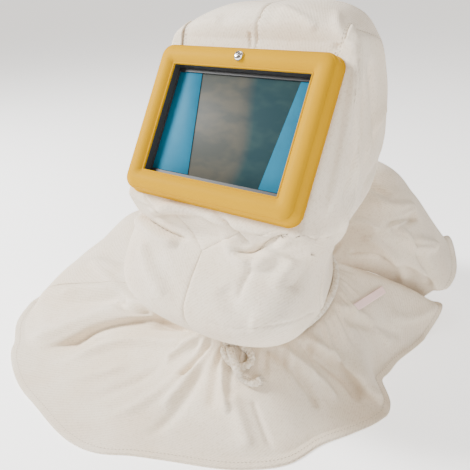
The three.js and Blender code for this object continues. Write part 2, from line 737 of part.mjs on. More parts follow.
function frameGeometry() {
  const loops = [offsetLoop(gasketRoom, gasketRoom, -frameLip), offsetLoop(0, 0, -frameLip)];
  for (const [out, rise] of facePlaces) {
    const offset = out * frameBorder;
    loops.push(offsetLoop(offset, offset, rise * frameFaceRise));
  }
  const wall = frameBorder + frameFlange * 0.4;
  const edge = frameBorder + frameFlange;
  loops.push(offsetLoop(wall, wall, -frameDepth * 0.76));
  loops.push(offsetLoop(edge, edge, -frameDepth * 0.82));
  loops.push(offsetLoop(edge, edge, -frameDepth));
  loops.push(offsetLoop(gasketRoom, gasketRoom, -frameDepth));
  const bore = new THREE.CylinderGeometry(screwShankRadius + clearance, screwShankRadius + clearance, 60, 16);
  const seat = new THREE.CylinderGeometry(screwHeadRadius + 0.6, screwHeadRadius + 0.6, 20, 24);
  for (const cutter of [bore, seat]) cutter.rotateX(Math.PI / 2);
  bore.translate(0, screwUp, 0);
  seat.translate(0, screwUp, screwSeat + 10);
  return fromManifold(toManifold(loopRing(loops)).subtract(toManifold(bore)).subtract(toManifold(seat)));
}

const screwUp = windowHeight / 2 + screwInset;
const screwSeat = frameFaceRise * 0.8;

function screwGeometry() {
  const base = screwSeat + clearance;
  const profile = [
    [0, -frameDepth + 2], [screwShankRadius, -frameDepth + 2], [screwShankRadius, base], [screwHeadRadius, base],
    [screwHeadRadius, base + screwHeadHeight * 0.35], [screwHeadRadius * 0.86, base + screwHeadHeight * 0.75],
    [screwHeadRadius * 0.5, base + screwHeadHeight * 0.96], [0, base + screwHeadHeight],
  ];
  const body = new THREE.LatheGeometry(profile.map(([x, y]) => new THREE.Vector2(x, y)), 16);
  body.rotateX(Math.PI / 2);
  let solid = toManifold(body);
  const sizes = [[recessLength, recessWidth], [recessWidth, recessLength]];
  for (const [width, height] of sizes) {
    const slot = new THREE.BoxGeometry(width, height, 2 * recessDepth);
    slot.translate(0, 0, base + screwHeadHeight);
    solid = solid.subtract(toManifold(slot));
  }
  return fromManifold(solid).translate(0, screwUp, 0);
}

const gasketFront = -(frameLip + clearance);
const gasketBack = gasketFront - gasketDepth;
const paneFront = gasketBack - clearance;
const paneBack = paneFront - paneThickness;

function gasketGeometry() {
  const outside = gasketThickness + clearance;
  const lipFront = gasketBack + gasketThickness * 0.7;
  return loopRing([
    offsetLoop(outside, outside, gasketFront),
    offsetLoop(clearance, clearance, gasketFront),
    offsetLoop(clearance, clearance, lipFront),
    offsetLoop(-gasketSideLip, -gasketTopLip, lipFront),
    offsetLoop(-gasketSideLip, -gasketTopLip, gasketBack),
    offsetLoop(outside, outside, gasketBack),
  ]);
}

function paneGeometry() {
  const spare = 2 * (gasketThickness - clearance);
  const geometry = new THREE.BoxGeometry(windowWidth + spare, windowHeight + spare, paneThickness);
  return geometry.translate(0, 0, (paneFront + paneBack) / 2);
}

function backingGeometry() {
  const front = canvasSeat - clothThickness - clearance;
  const back = front - backingThickness;
  const inner = (n) => windowLoop(
    windowWidth / 2 - backingInset, windowHeight / 2 - backingInset, backingCornerRadius, n);
  const outer = (n) => windowLoop(
    windowWidth / 2 + backingWidth, windowHeight / 2 + backingWidth, backingCornerRadius, n);
  return loopRing([outer(front), inner(front), inner(back), outer(back)]);
}

// A film strip on the pane's front, from the gasket's lip at one side (-1 or 1) to a slanted edge
function filmGeometry(side, topWidth, bottomWidth) {
  const edge = side * (windowWidth / 2 - gasketSideLip - clearance);
  const half = windowHeight / 2 - gasketTopLip - clearance;
  const outline = new THREE.Shape([
    new THREE.Vector2(edge, half),
    new THREE.Vector2(edge - side * topWidth, half),
    new THREE.Vector2(edge - side * bottomWidth, -half),
    new THREE.Vector2(edge, -half),
  ]);
  const film = new THREE.ExtrudeGeometry(outline, { depth: filmThickness, bevelEnabled: false });
  return film.translate(0, 0, paneFront + clearance);
}

// A cord along a smooth curve through hand-chosen points
function cordGeometry(points, steps) {
  const sides = 8;
  const outline = [];
  for (let k = 0; k < sides; k += 1) {
    const turn = (2 * Math.PI * k) / sides;
    outline.push(new THREE.Vector2(Math.cos(turn), Math.sin(turn)).multiplyScalar(cordDiameter / 2));
  }
  const curve = new THREE.CatmullRomCurve3(points.map((p) => new THREE.Vector3(...p)), false, 'centripetal');
  return new THREE.ExtrudeGeometry(new THREE.Shape(outline), { steps, extrudePath: curve, bevelEnabled: false });
}

// Places of the cord's knot and of the lines that its bow and its free end follow
const knotCentre = [-7.3, -91.8, 74.3];
const ringEnds = [[8.0, -84.5, 77.5], [-24.0, -84.8, 78.0]];
const bowLine = [
  [-11.0, -98.4, 67.6], [-8.4, -100.9, 64.9], [-0.1, -104.9, 59.7], [8.8, -106.0, 57.2], [18.6, -104.4, 56.9],
  [24.9, -99.6, 59.8], [25.0, -94.6, 64.8], [19.6, -91.3, 70.1], [11.6, -91.4, 72.5], [7.8, -92.0, 72.6],
];
const tailLine = [
  [0.6, -101.2, 71.2], [4.7, -105.3, 70.2], [12.9, -111.4, 66.4], [20.0, -116.1, 59.3], [23.4, -113.7, 50.3],
  [30.0, -111.8, 46.1], [37.7, -109.5, 45.8], [43.3, -103.9, 48.6],
];

// The cord goes once round the neck outside the casing and its two ends come forward to the knot
function drawcordGeometry() {
  const radius = neckRadius + 3 * clearance + cordDiameter / 2;
  const frontGap = 15;
  const steps = 24;
  const points = [ringEnds[0]];
  for (let i = 0; i <= steps; i += 1) {
    const angle = mix(frontGap, 360 - frontGap, i / steps);
    points.push(aroundNeck(angle, radius, neckHeight(angle) - casingDrop - casingHeight / 2).toArray());
  }
  points.push(ringEnds[1]);
  return cordGeometry(points, 2 * steps);
}

function knotGeometry() {
  const knot = new THREE.SphereGeometry(1, 14, 9);
  const thick = knotThickness / 2;
  return mergeVertices(knot).scale(knotLength / 2, thick, thick).translate(...knotCentre);
}

// The tag is a folded tape that stands out of the side seam, a row for each place along the seam
const tagTable = [
  ['x', 'y', 'z', 'lean'],
  [89.2, 34.7, 81.2, 0.45],
  [92.1, 52.9, 79.8, 0.57],
  [95.1, 71.2, 78.5, 0.60],
  [98.5, 89.2, 77.9, 0.66],
  [102.0, 101.0, 79.0, 0.60],
];

function tagGeometry() {
  const wall = (lift) => tableRows(tagTable).map(({ x, y, z, lean }) => {
    const out = Math.sqrt(1 - lean ** 2);
    const place = (across) => new THREE.Vector3(
      x + lift * out - across * lean * tagWidth, y, z + lift * lean + across * out * tagWidth);
    return [place(-0.5), place(0), place(0.5)];
  });
  return wallGeometry(wall(tagThickness - tagSink), wall(-tagSink));
}

// The object

const hood = new THREE.Group();
const windowGroup = new THREE.Group();
windowGroup.position.copy(windowCentre);
windowGroup.rotation.x = Math.PI / 2 - leanAngle;
hood.add(windowGroup);

function addMesh(group, name, geometry, material) {
  const mesh = new THREE.Mesh(geometry, material);
  mesh.name = name;
  group.add(mesh);
  return mesh;
}

addMesh(windowGroup, 'window_frame', frameGeometry(), yellowPlastic);
addMesh(windowGroup, 'frame_screw', screwGeometry(), chrome);
addMesh(windowGroup, 'window_gasket', gasketGeometry(), blackRubber);
addMesh(windowGroup, 'window_pane', paneGeometry(), glass);
addMesh(windowGroup, 'backing_ring', backingGeometry(), blackRubber);
addMesh(windowGroup, 'film_right', filmGeometry(-1, filmRightTop, filmRightBottom), blueFilm);
addMesh(windowGroup, 'film_left', filmGeometry(1, filmLeftTop, filmLeftBottom), blueFilm);

for (const [end, side] of [['left', 1], ['right', -1]]) {
  addMesh(hood, `crown_${end}`, crownGeometry(side), canvas);
  addMesh(hood, `front_${end}`, frontGeometry(side), canvas);
  addMesh(hood, `side_${end}`, sideGeometry(side), canvas);
}
addMesh(hood, 'chin_gusset', gussetGeometry(), canvas);
addMesh(hood, 'neck_casing', casingGeometry(), canvas);
addMesh(hood, 'cape_front', capeGeometry(capeTable), canvas);
addMesh(hood, 'cape_back', capeGeometry(capeBackTable), canvas);
addMesh(hood, 'drawcord', drawcordGeometry(), cottonCord);
addMesh(hood, 'drawcord_knot', knotGeometry(), cottonCord);
addMesh(hood, 'drawcord_bow', cordGeometry(bowLine, 22), cottonCord);
addMesh(hood, 'drawcord_tail', cordGeometry(tailLine, 16), cottonCord);
addMesh(hood, 'side_tag', tagGeometry(), tagTape);

// The origin is below the middle of the whole, on the surface that it stands on
hood.updateMatrixWorld(true);
const whole = new THREE.Box3().setFromObject(hood, true);
const middle = whole.getCenter(new THREE.Vector3());
hood.position.set(-middle.x, -middle.y, -whole.min.z);

export default hood;
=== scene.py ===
"""Looks of a canvas sandblasting hood with a yellow window frame and a shoulder cape.

Places are worked out in millimetres in the hood's own frame, whose Z axis passes the window's middle, and
put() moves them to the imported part's frame in metres.
"""
import math
import bpy
import numpy as np
from mathutils import Matrix, Vector
from mathutils.bvhtree import BVHTree


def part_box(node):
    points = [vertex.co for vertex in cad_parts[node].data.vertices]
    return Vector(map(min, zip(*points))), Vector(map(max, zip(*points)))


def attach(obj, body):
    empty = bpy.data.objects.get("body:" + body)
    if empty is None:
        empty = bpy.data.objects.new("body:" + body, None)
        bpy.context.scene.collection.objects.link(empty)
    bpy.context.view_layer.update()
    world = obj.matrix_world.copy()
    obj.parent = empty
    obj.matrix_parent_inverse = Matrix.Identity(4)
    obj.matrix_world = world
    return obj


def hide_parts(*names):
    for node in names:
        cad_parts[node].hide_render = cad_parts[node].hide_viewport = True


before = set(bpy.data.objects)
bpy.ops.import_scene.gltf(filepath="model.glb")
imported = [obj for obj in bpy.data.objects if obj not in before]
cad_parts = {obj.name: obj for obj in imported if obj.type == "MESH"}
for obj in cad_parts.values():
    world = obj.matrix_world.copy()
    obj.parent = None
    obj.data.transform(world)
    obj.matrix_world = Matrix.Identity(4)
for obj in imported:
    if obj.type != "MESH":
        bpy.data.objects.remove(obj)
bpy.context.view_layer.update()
random = np.random.default_rng(7)

# Sizes in millimetres, the same as the part's
CLOTH = 2.0
WINDOW_W, WINDOW_H = 155.0, 111.0
LEAN = math.radians(32)
WINDOW_Z, WINDOW_Y = 326.5, -100.0
BORDER, FLANGE, FACE_RISE, FRAME_DEPTH, FRAME_LIP = 20.0, 3.0, 4.2, 16.0, 1.5
HOOD_H, HOOD_HALF, HOOD_BACK, CROWN_BACK = 429.0, 113.0, 104.0, 20.0
NECK_R, SWAY, NECK_FRONT, NAPE = 76.0, 10.0, 90.0, 138.0
CASING_H, CASING_DROP = 16.0, 0.8
CAPE_REACH, CAPE_RISE, HEM = 260.0, 200.0, 9.0
CORD_D = 9.0
CLEAR = 0.3
GASKET_DEPTH, LIP_THICK, LIP_SIDE, LIP_TOP = 8.4, 1.3, 1.5, 4.0
PANE_THICK, FILM_THICK = 3.0, 0.5
HOLE_ROOM, GUSSET_DROP = 9, 9
SEAT = -(FRAME_DEPTH + CLEAR)
FLANGE_W = WINDOW_W / 2 + BORDER + FLANGE
FLANGE_H = WINDOW_H / 2 + BORDER + FLANGE
HOLE_W, HOLE_H = WINDOW_W / 2 + HOLE_ROOM, WINDOW_H / 2 + HOLE_ROOM

CENTRE = np.array([0.0, WINDOW_Y, WINDOW_Z])
UP = np.array([0.0, math.sin(LEAN), math.cos(LEAN)])
OUT = np.array([0.0, -math.cos(LEAN), math.sin(LEAN)])

# Shift from the hood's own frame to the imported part's, read off the pane
pane_low, pane_high = (np.array(v) * 1000 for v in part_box("window_pane"))
pane_depth = FRAME_LIP + CLEAR + GASKET_DEPTH + CLEAR + PANE_THICK / 2
SHIFT = (pane_low + pane_high) / 2 - (CENTRE - pane_depth * OUT)
SHIFT[2] = 0.0


def put(points):
    """Millimetres in the hood's own frame to metres in the part's frame."""
    return (np.asarray(points, float) + SHIFT) / 1000


def in_scene(name, data):
    """A new object of a mesh, camera or lamp, linked to the scene."""
    thing = bpy.data.objects.new(name, data)
    bpy.context.scene.collection.objects.link(thing)
    return thing


# Camera, fitted to the photograph; lengths on the picture are in its pixels
FOCAL, IMAGE = 550.0, 470
EYE = np.array([303.15, -509.24, 449.88])
AZ, EL, ROLL = (math.radians(a) for a in (35.48, 25.0, -1.77))
AHEAD = np.array([-math.sin(AZ) * math.cos(EL), math.cos(AZ) * math.cos(EL), -math.sin(EL)])
LEVEL = np.array([math.cos(AZ), math.sin(AZ), 0.0])
RISING = np.cross(LEVEL, AHEAD)
SIDEWAYS = math.cos(ROLL) * LEVEL + math.sin(ROLL) * RISING
UPWARDS = math.cos(ROLL) * RISING - math.sin(ROLL) * LEVEL

camera_data = bpy.data.cameras.new("camera")
camera_data.lens = FOCAL / IMAGE * 36
camera_data.clip_end = 20
camera = in_scene("camera", camera_data)
camera.matrix_world = Matrix(
    np.vstack([np.stack([SIDEWAYS, UPWARDS, -AHEAD, put(EYE)], 1), (0, 0, 0, 1)]).tolist())
bpy.context.scene.camera = camera


def sight(u, v):
    """Direction in which the camera sees a place of the photograph."""
    d = AHEAD + (u - IMAGE / 2) / FOCAL * SIDEWAYS - (v - IMAGE / 2) / FOCAL * UPWARDS
    return d / np.linalg.norm(d)


# Small tools

def unit(v):
    return v / np.maximum(np.linalg.norm(v, axis=-1, keepdims=True), 1e-9)


def smooth(t):
    t = np.clip(t, 0, 1)
    return t * t * (3 - 2 * t)


def mix(a, b, t):
    return a + (b - a) * t


def through(values, at):
    """Catmull-Rom value at row numbers with a fraction; values may be rows of numbers."""
    values = np.asarray(values, float)
    at = np.asarray(at, float)
    last = len(values) - 1
    i = np.clip(np.floor(at).astype(int), 0, last - 1)
    t = (at - i).reshape(at.shape + (1,) * (values.ndim - 1))
    a, b, c, d = (values[np.clip(i + k, 0, last)] for k in (-1, 0, 1, 2))
    return b + 0.5 * t * (c - a + t * (2 * a - 5 * b + 4 * c - d + t * (3 * (b - c) + d - a)))


def run_of(points):
    """Length along a line of places up to each of them."""
    return np.concatenate([[0], np.cumsum(np.linalg.norm(np.diff(points, axis=0), axis=1))])


def smooth_line(points, step):
    """Even points, step apart, on a smooth line through the given ones."""
    points = np.asarray(points, float)
    fine = through(points, np.linspace(0, len(points) - 1, 24 * (len(points) - 1) + 1))
    lengths = run_of(fine)
    count = max(int(round(lengths[-1] / step)), 2)
    even = np.linspace(0, lengths[-1], count + 1)
    return np.stack([np.interp(even, lengths, fine[:, k]) for k in range(3)], 1)


def new_mesh(name, points, faces, material, uv=None):
    """A mesh object from places in millimetres; uv is a pair of millimetres for each vertex."""
    mesh = bpy.data.meshes.new(name)
    mesh.from_pydata(put(points).tolist(), [], [list(map(int, f)) for f in faces])
    if uv is not None:
        layer = mesh.uv_layers.new(name="cloth")
        corners = np.empty(len(mesh.loops), int)
        mesh.loops.foreach_get("vertex_index", corners)
        layer.data.foreach_set("uv", (np.asarray(uv, float)[corners] / 1000).ravel())
    mesh.shade_smooth()
    mesh.materials.append(material)
    return in_scene(name, mesh)


def grid_faces(rows, columns, wrapped=False):
    i, j = np.meshgrid(np.arange(rows if wrapped else rows - 1), np.arange(columns - 1), indexing="ij")
    k = (i + 1) % rows
    here, below = i * columns + j, k * columns + j
    return np.stack([here, below, below + 1, here + 1], -1).reshape(-1, 4)


def loop_faces(count, loops, closed=False):
    """Quads between loops of count places; where closed, the last loop is joined to the first."""
    i, j = np.meshgrid(np.arange(loops if closed else loops - 1), np.arange(count), indexing="ij")
    k, m = (j + 1) % count, (i + 1) % loops
    return np.stack([i * count + j, m * count + j, m * count + k, i * count + k], -1).reshape(-1, 4)


def tube_faces(sides, count):
    """Quads of a tube whose rings turn the other way."""
    return loop_faces(sides, count)[:, [0, 3, 2, 1]]


def grid_normals(grid):
    return unit(np.cross(np.gradient(grid, axis=1), np.gradient(grid, axis=0)))


def thick(piece, width=CLOTH):
    """Gives a cloth surface its thickness to the inside."""
    solid = piece.modifiers.new("thickness", "SOLIDIFY")
    solid.thickness = width / 1000
    solid.offset = -1
    solid.use_even_offset = False
    return piece


def dress(piece, slot, *nodes):
    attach(piece, "root")
    if nodes:
        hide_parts(*nodes)
    return piece


# Materials

def new_material(name, colour, rough, sheen=0.0, metal=0.0, shine=0.5):
    """A material and its shader, with the values that are the same all over on the shader's own sockets."""
    material = bpy.data.materials.new(name)
    material.use_nodes = True
    shader = material.node_tree.nodes["Principled BSDF"]
    for socket, value in (("Base Color", (*colour, 1)), ("Roughness", rough), ("Metallic", metal),
                          ("Sheen Weight", sheen), ("Specular IOR Level", shine)):
        shader.inputs[socket].default_value = value
    return material, shader


class Nodes:
    """Short names for the nodes of one material."""

    def __init__(self, material):
        self.tree = material.node_tree

    def add(self, kind, **values):
        node = self.tree.nodes.new(kind)
        for key, value in values.items():
            if hasattr(node, key):
                setattr(node, key, value)
            else:
                node.inputs[key.replace("_", " ")].default_value = value
        return node

    def link(self, source, target):
        self.tree.links.new(source, target)

    def place(self, kind="Object"):
        return self.add("ShaderNodeTexCoord").outputs[kind]

    def noise(self, vector, scale, detail=3.0, rough=0.55):
        node = self.add("ShaderNodeTexNoise", Scale=scale, Detail=detail, Roughness=rough)
        self.link(vector, node.inputs["Vector"])
        return node.outputs["Fac"]

    def wave(self, vector, scale, direction="DIAGONAL", distortion=0.0, detail=0.0):
        node = self.add(
            "ShaderNodeTexWave", Scale=scale, Distortion=distortion, Detail=detail, bands_direction=direction)
        self.link(vector, node.inputs["Vector"])
        return node.outputs["Fac"]

    def ramp(self, factor, stops):
        node = self.add("ShaderNodeValToRGB")
        elements = node.color_ramp.elements
        while len(elements) < len(stops):
            elements.new(0.5)
        for element, (position, colour) in zip(elements, stops):
            element.position = position
            element.color = (*colour, 1)
        self.link(factor, node.inputs["Fac"])
        return node.outputs["Color"]

    def multiply(self, factor, a, b):
        node = self.add("ShaderNodeMix", data_type="RGBA", blend_type="MULTIPLY")
        node.inputs[0].default_value = factor
        self.link(a, node.inputs[6])
        self.link(b, node.inputs[7])
        return node.outputs[2]

    def bump(self, shader, *layers):
        """Layers are heights with their strength and distance in metres, the broadest first."""
        normal = None
        for height, strength, distance in layers:
            node = self.add("ShaderNodeBump", Strength=strength, Distance=distance)
            self.link(height, node.inputs["Height"])
            if normal is not None:
                self.link(normal, node.inputs["Normal"])
            normal = node.outputs["Normal"]
        self.link(normal, shader.inputs["Normal"])


def canvas_material():
    material, shader = new_material("canvas", (0.80, 0.75, 0.67), 0.92, sheen=0.12)
    nodes = Nodes(material)
    place, cloth = nodes.place(), nodes.place("UV")
    blotches = nodes.ramp(
        nodes.noise(place, 14, 3), [(0.35, (0.77, 0.66, 0.52)), (0.65, (0.83, 0.745, 0.62))])
    slubs = nodes.noise(place, 420, 2, 0.7)
    specks = nodes.ramp(slubs, [(0.30, (0.80, 0.76, 0.70)), (0.50, (1, 1, 1))])
    twill = nodes.wave(cloth, 165, "DIAGONAL", 0.5, 1.0)
    lines = nodes.ramp(twill, [(0.1, (0.93, 0.92, 0.90)), (0.7, (1, 1, 1))])
    colour = nodes.multiply(0.7, nodes.multiply(1.0, blotches, lines), specks)
    nodes.link(colour, shader.inputs["Base Color"])
    rumples = nodes.noise(place, 55, 3)
    nodes.bump(shader, (rumples, 0.35, 0.0012), (twill, 0.5, 0.0002), (slubs, 0.3, 0.0002))
    return material


def pane_material():
    """Tinted glass with painted reflections of the studio and the painted light and shade of the hood's
    inside, in soft wavy streaks set by place on the pane.
    """
    material, shader = new_material("glass", (0.05, 0.052, 0.05), 0.35, shine=0.03)
    nodes = Nodes(material)
    place = nodes.place("Generated")
    # Painted reflection and painted light and shade of the hood's inside: dark teal shade, grey and pale warm
    # streaks
    painted_reflection_streaks = nodes.wave(place, 0.42, "X", 2.2, 1.0)
    tones = nodes.ramp(
        painted_reflection_streaks, [(0.25, (0.026, 0.052, 0.058)), (0.5, (0.06, 0.064, 0.06)), (0.75, (0.078, 0.076, 0.066))])
    # Fine mottling of the same painted reflection
    fine = nodes.ramp(nodes.noise(place, 5.5, 2), [(0.42, (0.72, 0.80, 0.84)), (0.62, (1.0, 0.99, 0.94))])
    nodes.link(nodes.multiply(1.0, tones, fine), shader.inputs["Base Color"])
    return material


def plain_material(name, colour, rough, grain, tones=None, ribs=None, **gloss):
    """A material with one fine bump. Grain is its scale, strength and depth in metres, tones are a noise's
    scale, detail and two stops of colour, and ribs are the place and the way of a wave in the noise's stead.
    """
    material, shader = new_material(name, colour, rough, **gloss)
    nodes = Nodes(material)
    place = nodes.place(ribs[0] if ribs else "Object")
    if tones:
        scale, detail, *stops = tones
        nodes.link(nodes.ramp(nodes.noise(place, scale, detail), stops), shader.inputs["Base Color"])
    scale, strength, depth = grain
    height = nodes.wave(place, scale, ribs[1]) if ribs else nodes.noise(place, scale, 2)
    nodes.bump(shader, (height, strength, depth))
    return material


CANVAS, PANE = canvas_material(), pane_material()
THREAD = plain_material(
    "thread", (0.50, 0.42, 0.32), 0.8, (900, 0.4, 0.0001), ribs=("Object", "DIAGONAL"), sheen=0.2)
YELLOW = plain_material(
    "yellow_plastic", (0.50, 0.26, 0.0), 0.5, (700, 0.05, 0.0002),
    (9, 2, (0.3, (0.49, 0.255, 0.0)), (0.7, (0.53, 0.28, 0.0))), shine=0.02)
RUBBER = plain_material("black_rubber", (0.014, 0.015, 0.017), 0.5, (900, 0.15, 0.0002))
BACKING = plain_material("black_plastic", (0.018, 0.019, 0.021), 0.65, (900, 0.15, 0.0002))
FILM = plain_material(
    "blue_film", (0.012, 0.13, 0.22), 0.5, (45, 0.3, 0.001),
    (20, 3, (0.3, (0.01, 0.115, 0.20)), (0.7, (0.016, 0.15, 0.25))), shine=0.05)
CHROME = plain_material("chrome", (0.72, 0.72, 0.74), 0.16, (1500, 0.08, 0.0001), metal=1.0)
CORD = plain_material(
    "cotton_cord", (0.80, 0.75, 0.66), 0.9, (1600, 0.5, 0.0003),
    (260, 3, (0.3, (0.60, 0.50, 0.37)), (0.6, (0.84, 0.77, 0.66))), sheen=0.3)
TAG = plain_material("tag_tape", (0.92, 0.66, 0.64), 0.45, (260, 0.3, 0.0001), ribs=("UV", "X"), sheen=0.3)


# Cords: the same places as the part's

KNOT_CENTRE = (-7.3, -91.8, 74.3)
KNOT_LENGTH, WRAP_R, CORE_R = 24.0, 4.6, 4.0
STRANDS = 3
RING_ENDS = [(8.0, -84.5, 77.5), (-24.0, -84.8, 78.0)]
BOW_LINE = [
    (-11.0, -98.4, 67.6), (-8.4, -100.9, 64.9), (-0.1, -104.9, 59.7), (8.8, -106.0, 57.2),
    (18.6, -104.4, 56.9), (24.9, -99.6, 59.8), (25.0, -94.6, 64.8), (19.6, -91.3, 70.1),
    (11.6, -91.4, 72.5), (7.8, -92.0, 72.6)]
TAIL_LINE = [
    (0.6, -101.2, 71.2), (4.7, -105.3, 70.2), (12.9, -111.4, 66.4), (20.0, -116.1, 59.3),
    (23.4, -113.7, 50.3), (30.0, -111.8, 46.1), (37.7, -109.5, 45.8), (43.3, -103.9, 48.6)]


def neck_height(angle):
    return mix(NECK_FRONT, NAPE, smooth((1 - np.cos(np.radians(angle))) / 2))


def around_neck(angle, radius, z):
    a = np.radians(np.asarray(angle, float))
    return np.stack(np.broadcast_arrays(radius * np.sin(a) - SWAY, -radius * np.cos(a), z), -1)


def braid(name, line, radius, step=0.9, sides=28, pitch=13.0, relief=0.2, taper=None):
    """A braided tube along a line: two sets of strands cross over each other on its surface."""
    points = smooth_line(line, step)
    ahead = unit(np.gradient(points, axis=0))
    side = np.empty_like(ahead)
    start = np.cross(ahead[0], (0.3, 0.2, 1.0))
    for i, direction in enumerate(ahead):
        start = start - direction * (start @ direction)
        start = start / np.linalg.norm(start)
        side[i] = start
    other = np.cross(ahead, side)
    turn = np.linspace(0, 2 * np.pi, sides, endpoint=False)
    along = np.arange(len(points)) * step
    twist = 2 * np.pi * along[:, None] / pitch
    height = np.maximum(*(np.cos(STRANDS * turn[None] + way * STRANDS * twist) for way in (1, -1)))
    height = height ** 2 * np.sign(height)
    r = radius * (1 - relief + relief * height)
    if taper is not None:
        r = r * taper(along / along[-1])[:, None]
    rings = points[:, None] + r[..., None] * (
        np.cos(turn)[None, :, None] * side[:, None] + np.sin(turn)[None, :, None] * other[:, None])
    count = len(points)
    last = (count - 1) * sides
    faces = [*tube_faces(sides, count), range(sides - 1, -1, -1), range(last, last + sides)]
    return new_mesh(name, rings.reshape(-1, 3), faces, CORD), points


def rounded_ends(share):
    """Thickness along a cord whose two ends are drawn in."""
    return np.minimum(0.55 + 9 * np.minimum(share, 1 - share), 1.0)


def fray(name, end, ahead, count=46, reach=7.5):
    """Loose fibres in a small brush at a cord's end."""
    points, faces = [], []
    ahead = ahead / np.linalg.norm(ahead)
    side = unit(np.cross(ahead, (0, 0, 1.0)))
    other = np.cross(ahead, side)
    for _ in range(count):
        turn, out = random.uniform(0, 2 * np.pi), math.sqrt(random.uniform(0.02, 1)) * CORD_D * 0.5
        away = math.cos(turn) * side + math.sin(turn) * other
        root = end - ahead * 2 + away * out
        long = reach * random.uniform(0.5, 1)
        tip = root + ahead * long + away * out * random.uniform(0.1, 0.6) + random.normal(0, 0.7, 3)
        bend = random.normal(0, 0.7, 3)
        wide = random.uniform(0.45, 0.8)
        base = len(points)
        for t in (0, 0.35, 0.7, 1.0):
            middle = mix(root, tip, t) + bend * 4 * t * (1 - t)
            for k in range(3):
                a = 2 * np.pi * k / 3 + turn
                points.append(middle + wide * (1 - 0.7 * t) * (math.cos(a) * side + math.sin(a) * other))
        faces += [*(base + tube_faces(3, 4)), (base + 2, base + 1, base), (base + 9, base + 10, base + 11)]
    return new_mesh(name, np.array(points), faces, CORD)


def make_cords():
    radius = CORD_D / 2
    bow, bow_path = braid("cord_bow", BOW_LINE, radius * 1.04, taper=rounded_ends)
    tail, tail_path = braid("cord_tail", TAIL_LINE, radius * 1.04)
    brush = fray("cord_fray", tail_path[-1], tail_path[-1] - tail_path[-4])
    ring_r = NECK_R + 3 * CLEAR + radius
    angles = np.linspace(15, 345, 25)
    loop = around_neck(angles, ring_r, neck_height(angles) - CASING_DROP - CASING_H / 2)
    ring, _ = braid("cord_ring", [RING_ENDS[0], *loop, RING_ENDS[1]], radius, step=1.6, sides=20)
    cx, cy, cz = KNOT_CENTRE
    half = KNOT_LENGTH / 2 - 1.0
    wrap = [(cx - half, cy + 1.5, cz - 0.5), (cx - half / 2, cy - 0.6, cz + 0.5), (cx, cy - 1.0, cz + 0.7),
            (cx + half / 2, cy - 0.6, cz + 0.4), (cx + half, cy + 1.2, cz - 0.8)]
    knot, _ = braid("knot_wrap", wrap, WRAP_R, step=0.7, taper=rounded_ends, pitch=11.0)
    core = [(cx - 4.5, cy - 3.2, cz - 4.5), (cx - 1, cy - 2.0, cz - 1), (cx + 3, cy + 0.5, cz + 3),
            (cx + 3, cy + 3, cz + 5.5)]
    under, _ = braid("knot_core", core, CORE_R, step=0.7, taper=rounded_ends, pitch=11.0)
    for piece, *node in ((bow, "drawcord_bow"), (tail, "drawcord_tail"), (brush,), (ring, "drawcord"),
                         (knot, "drawcord_knot"), (under,)):
        dress(piece, "cotton_cord", *node)


make_cords()


# Hood: sections from the crown to the neck, as in the part. Front and back places are worked out from the
# row's shares, and the angle runs from 0 at the front over 90 at the wearer's left to 180 at the back.
HOOD_ROWS = [
    # zone, along, out, back drop, back reach, width, widest at, front power, back power
    ("crown", 1.00, 1.00, 0.000, 0.19, 0.00, 0.50, 2.0, 2.0),
    ("crown", 0.96, 0.48, 0.005, 0.52, 0.45, 0.48, 2.2, 2.1),
    ("crown", 0.78, 0.18, 0.040, 0.78, 0.69, 0.33, 2.5, 2.4),
    ("crown", 0.46, 0.01, 0.105, 0.94, 0.85, 0.15, 3.2, 2.6),
    ("window", 1.02, 0.0, 0.210, 1.04, 0.94, 0.07, 5.0, 2.8),
    ("window", 0.00, 0.0, 0.400, 1.09, 0.99, 0.20, 5.0, 2.8),
    ("window", -1.02, 0.0, 0.590, 1.00, 1.00, 0.32, 4.5, 2.4),
    ("chin", 0.13, 0.17, 0.650, 0.90, 0.98, 0.27, 4.4, 1.9),
    ("chin", 0.29, -0.02, 0.710, 0.78, 0.965, 0.25, 4.6, 1.6),
    ("chin", 0.45, -0.40, 0.770, 0.70, 0.965, 0.29, 4.4, 1.5),
    ("chin", 0.59, -0.64, 0.820, 0.68, 0.965, 0.33, 3.9, 1.5),
    ("chin", 0.73, -0.56, 0.873, 0.69, 0.93, 0.36, 3.3, 1.6),
    ("chin", 0.86, -0.18, 0.921, 0.70, 0.84, 0.39, 2.7, 1.8),
    ("chin", 0.96, 0.50, 0.965, 0.72, 0.72, 0.45, 2.3, 1.9),
    ("chin", 1.00, 1.00, 1.000, 0.73, 0.685, 0.50, 2.0, 2.0)]
FRAME_TOP = CENTRE + FLANGE_H * UP + SEAT * OUT
FRAME_BOTTOM = CENTRE - FLANGE_H * UP + SEAT * OUT


def hood_columns():
    columns = []
    for zone, along, out, drop, reach, width, wide_at, front_power, back_power in HOOD_ROWS:
        front = CENTRE + along * FLANGE_H * UP + SEAT * OUT
        if zone != "window":
            start, y, z = (
                (FRAME_TOP, CROWN_BACK, HOOD_H) if zone == "crown" else (FRAME_BOTTOM, -NECK_R, NECK_FRONT))
            front = (0, mix(start[1], y, out), mix(start[2], z, along))
        columns.append((front[1], front[2], reach * HOOD_BACK, HOOD_H - drop * (HOOD_H - NAPE),
                        width * HOOD_HALF, wide_at, front_power, back_power))
    columns[0] = columns[0][:2] + (CROWN_BACK,) + columns[0][3:]
    columns[-1] = columns[-1][:2] + (NECK_R,) + (columns[-1][3], NECK_R) + columns[-1][5:]
    return np.array(columns)


HOOD_COLUMNS = hood_columns()


# How far the canvas stays on the frame's plane past the flange, and how softly it leaves it
ROOM_ABOVE, ROOM_BELOW, FADE_SIDE, FADE_UP = 10, 1, 8, 22
# How far behind the frame's plane no canvas is drawn on to it
HOLD_DEPTH = 45


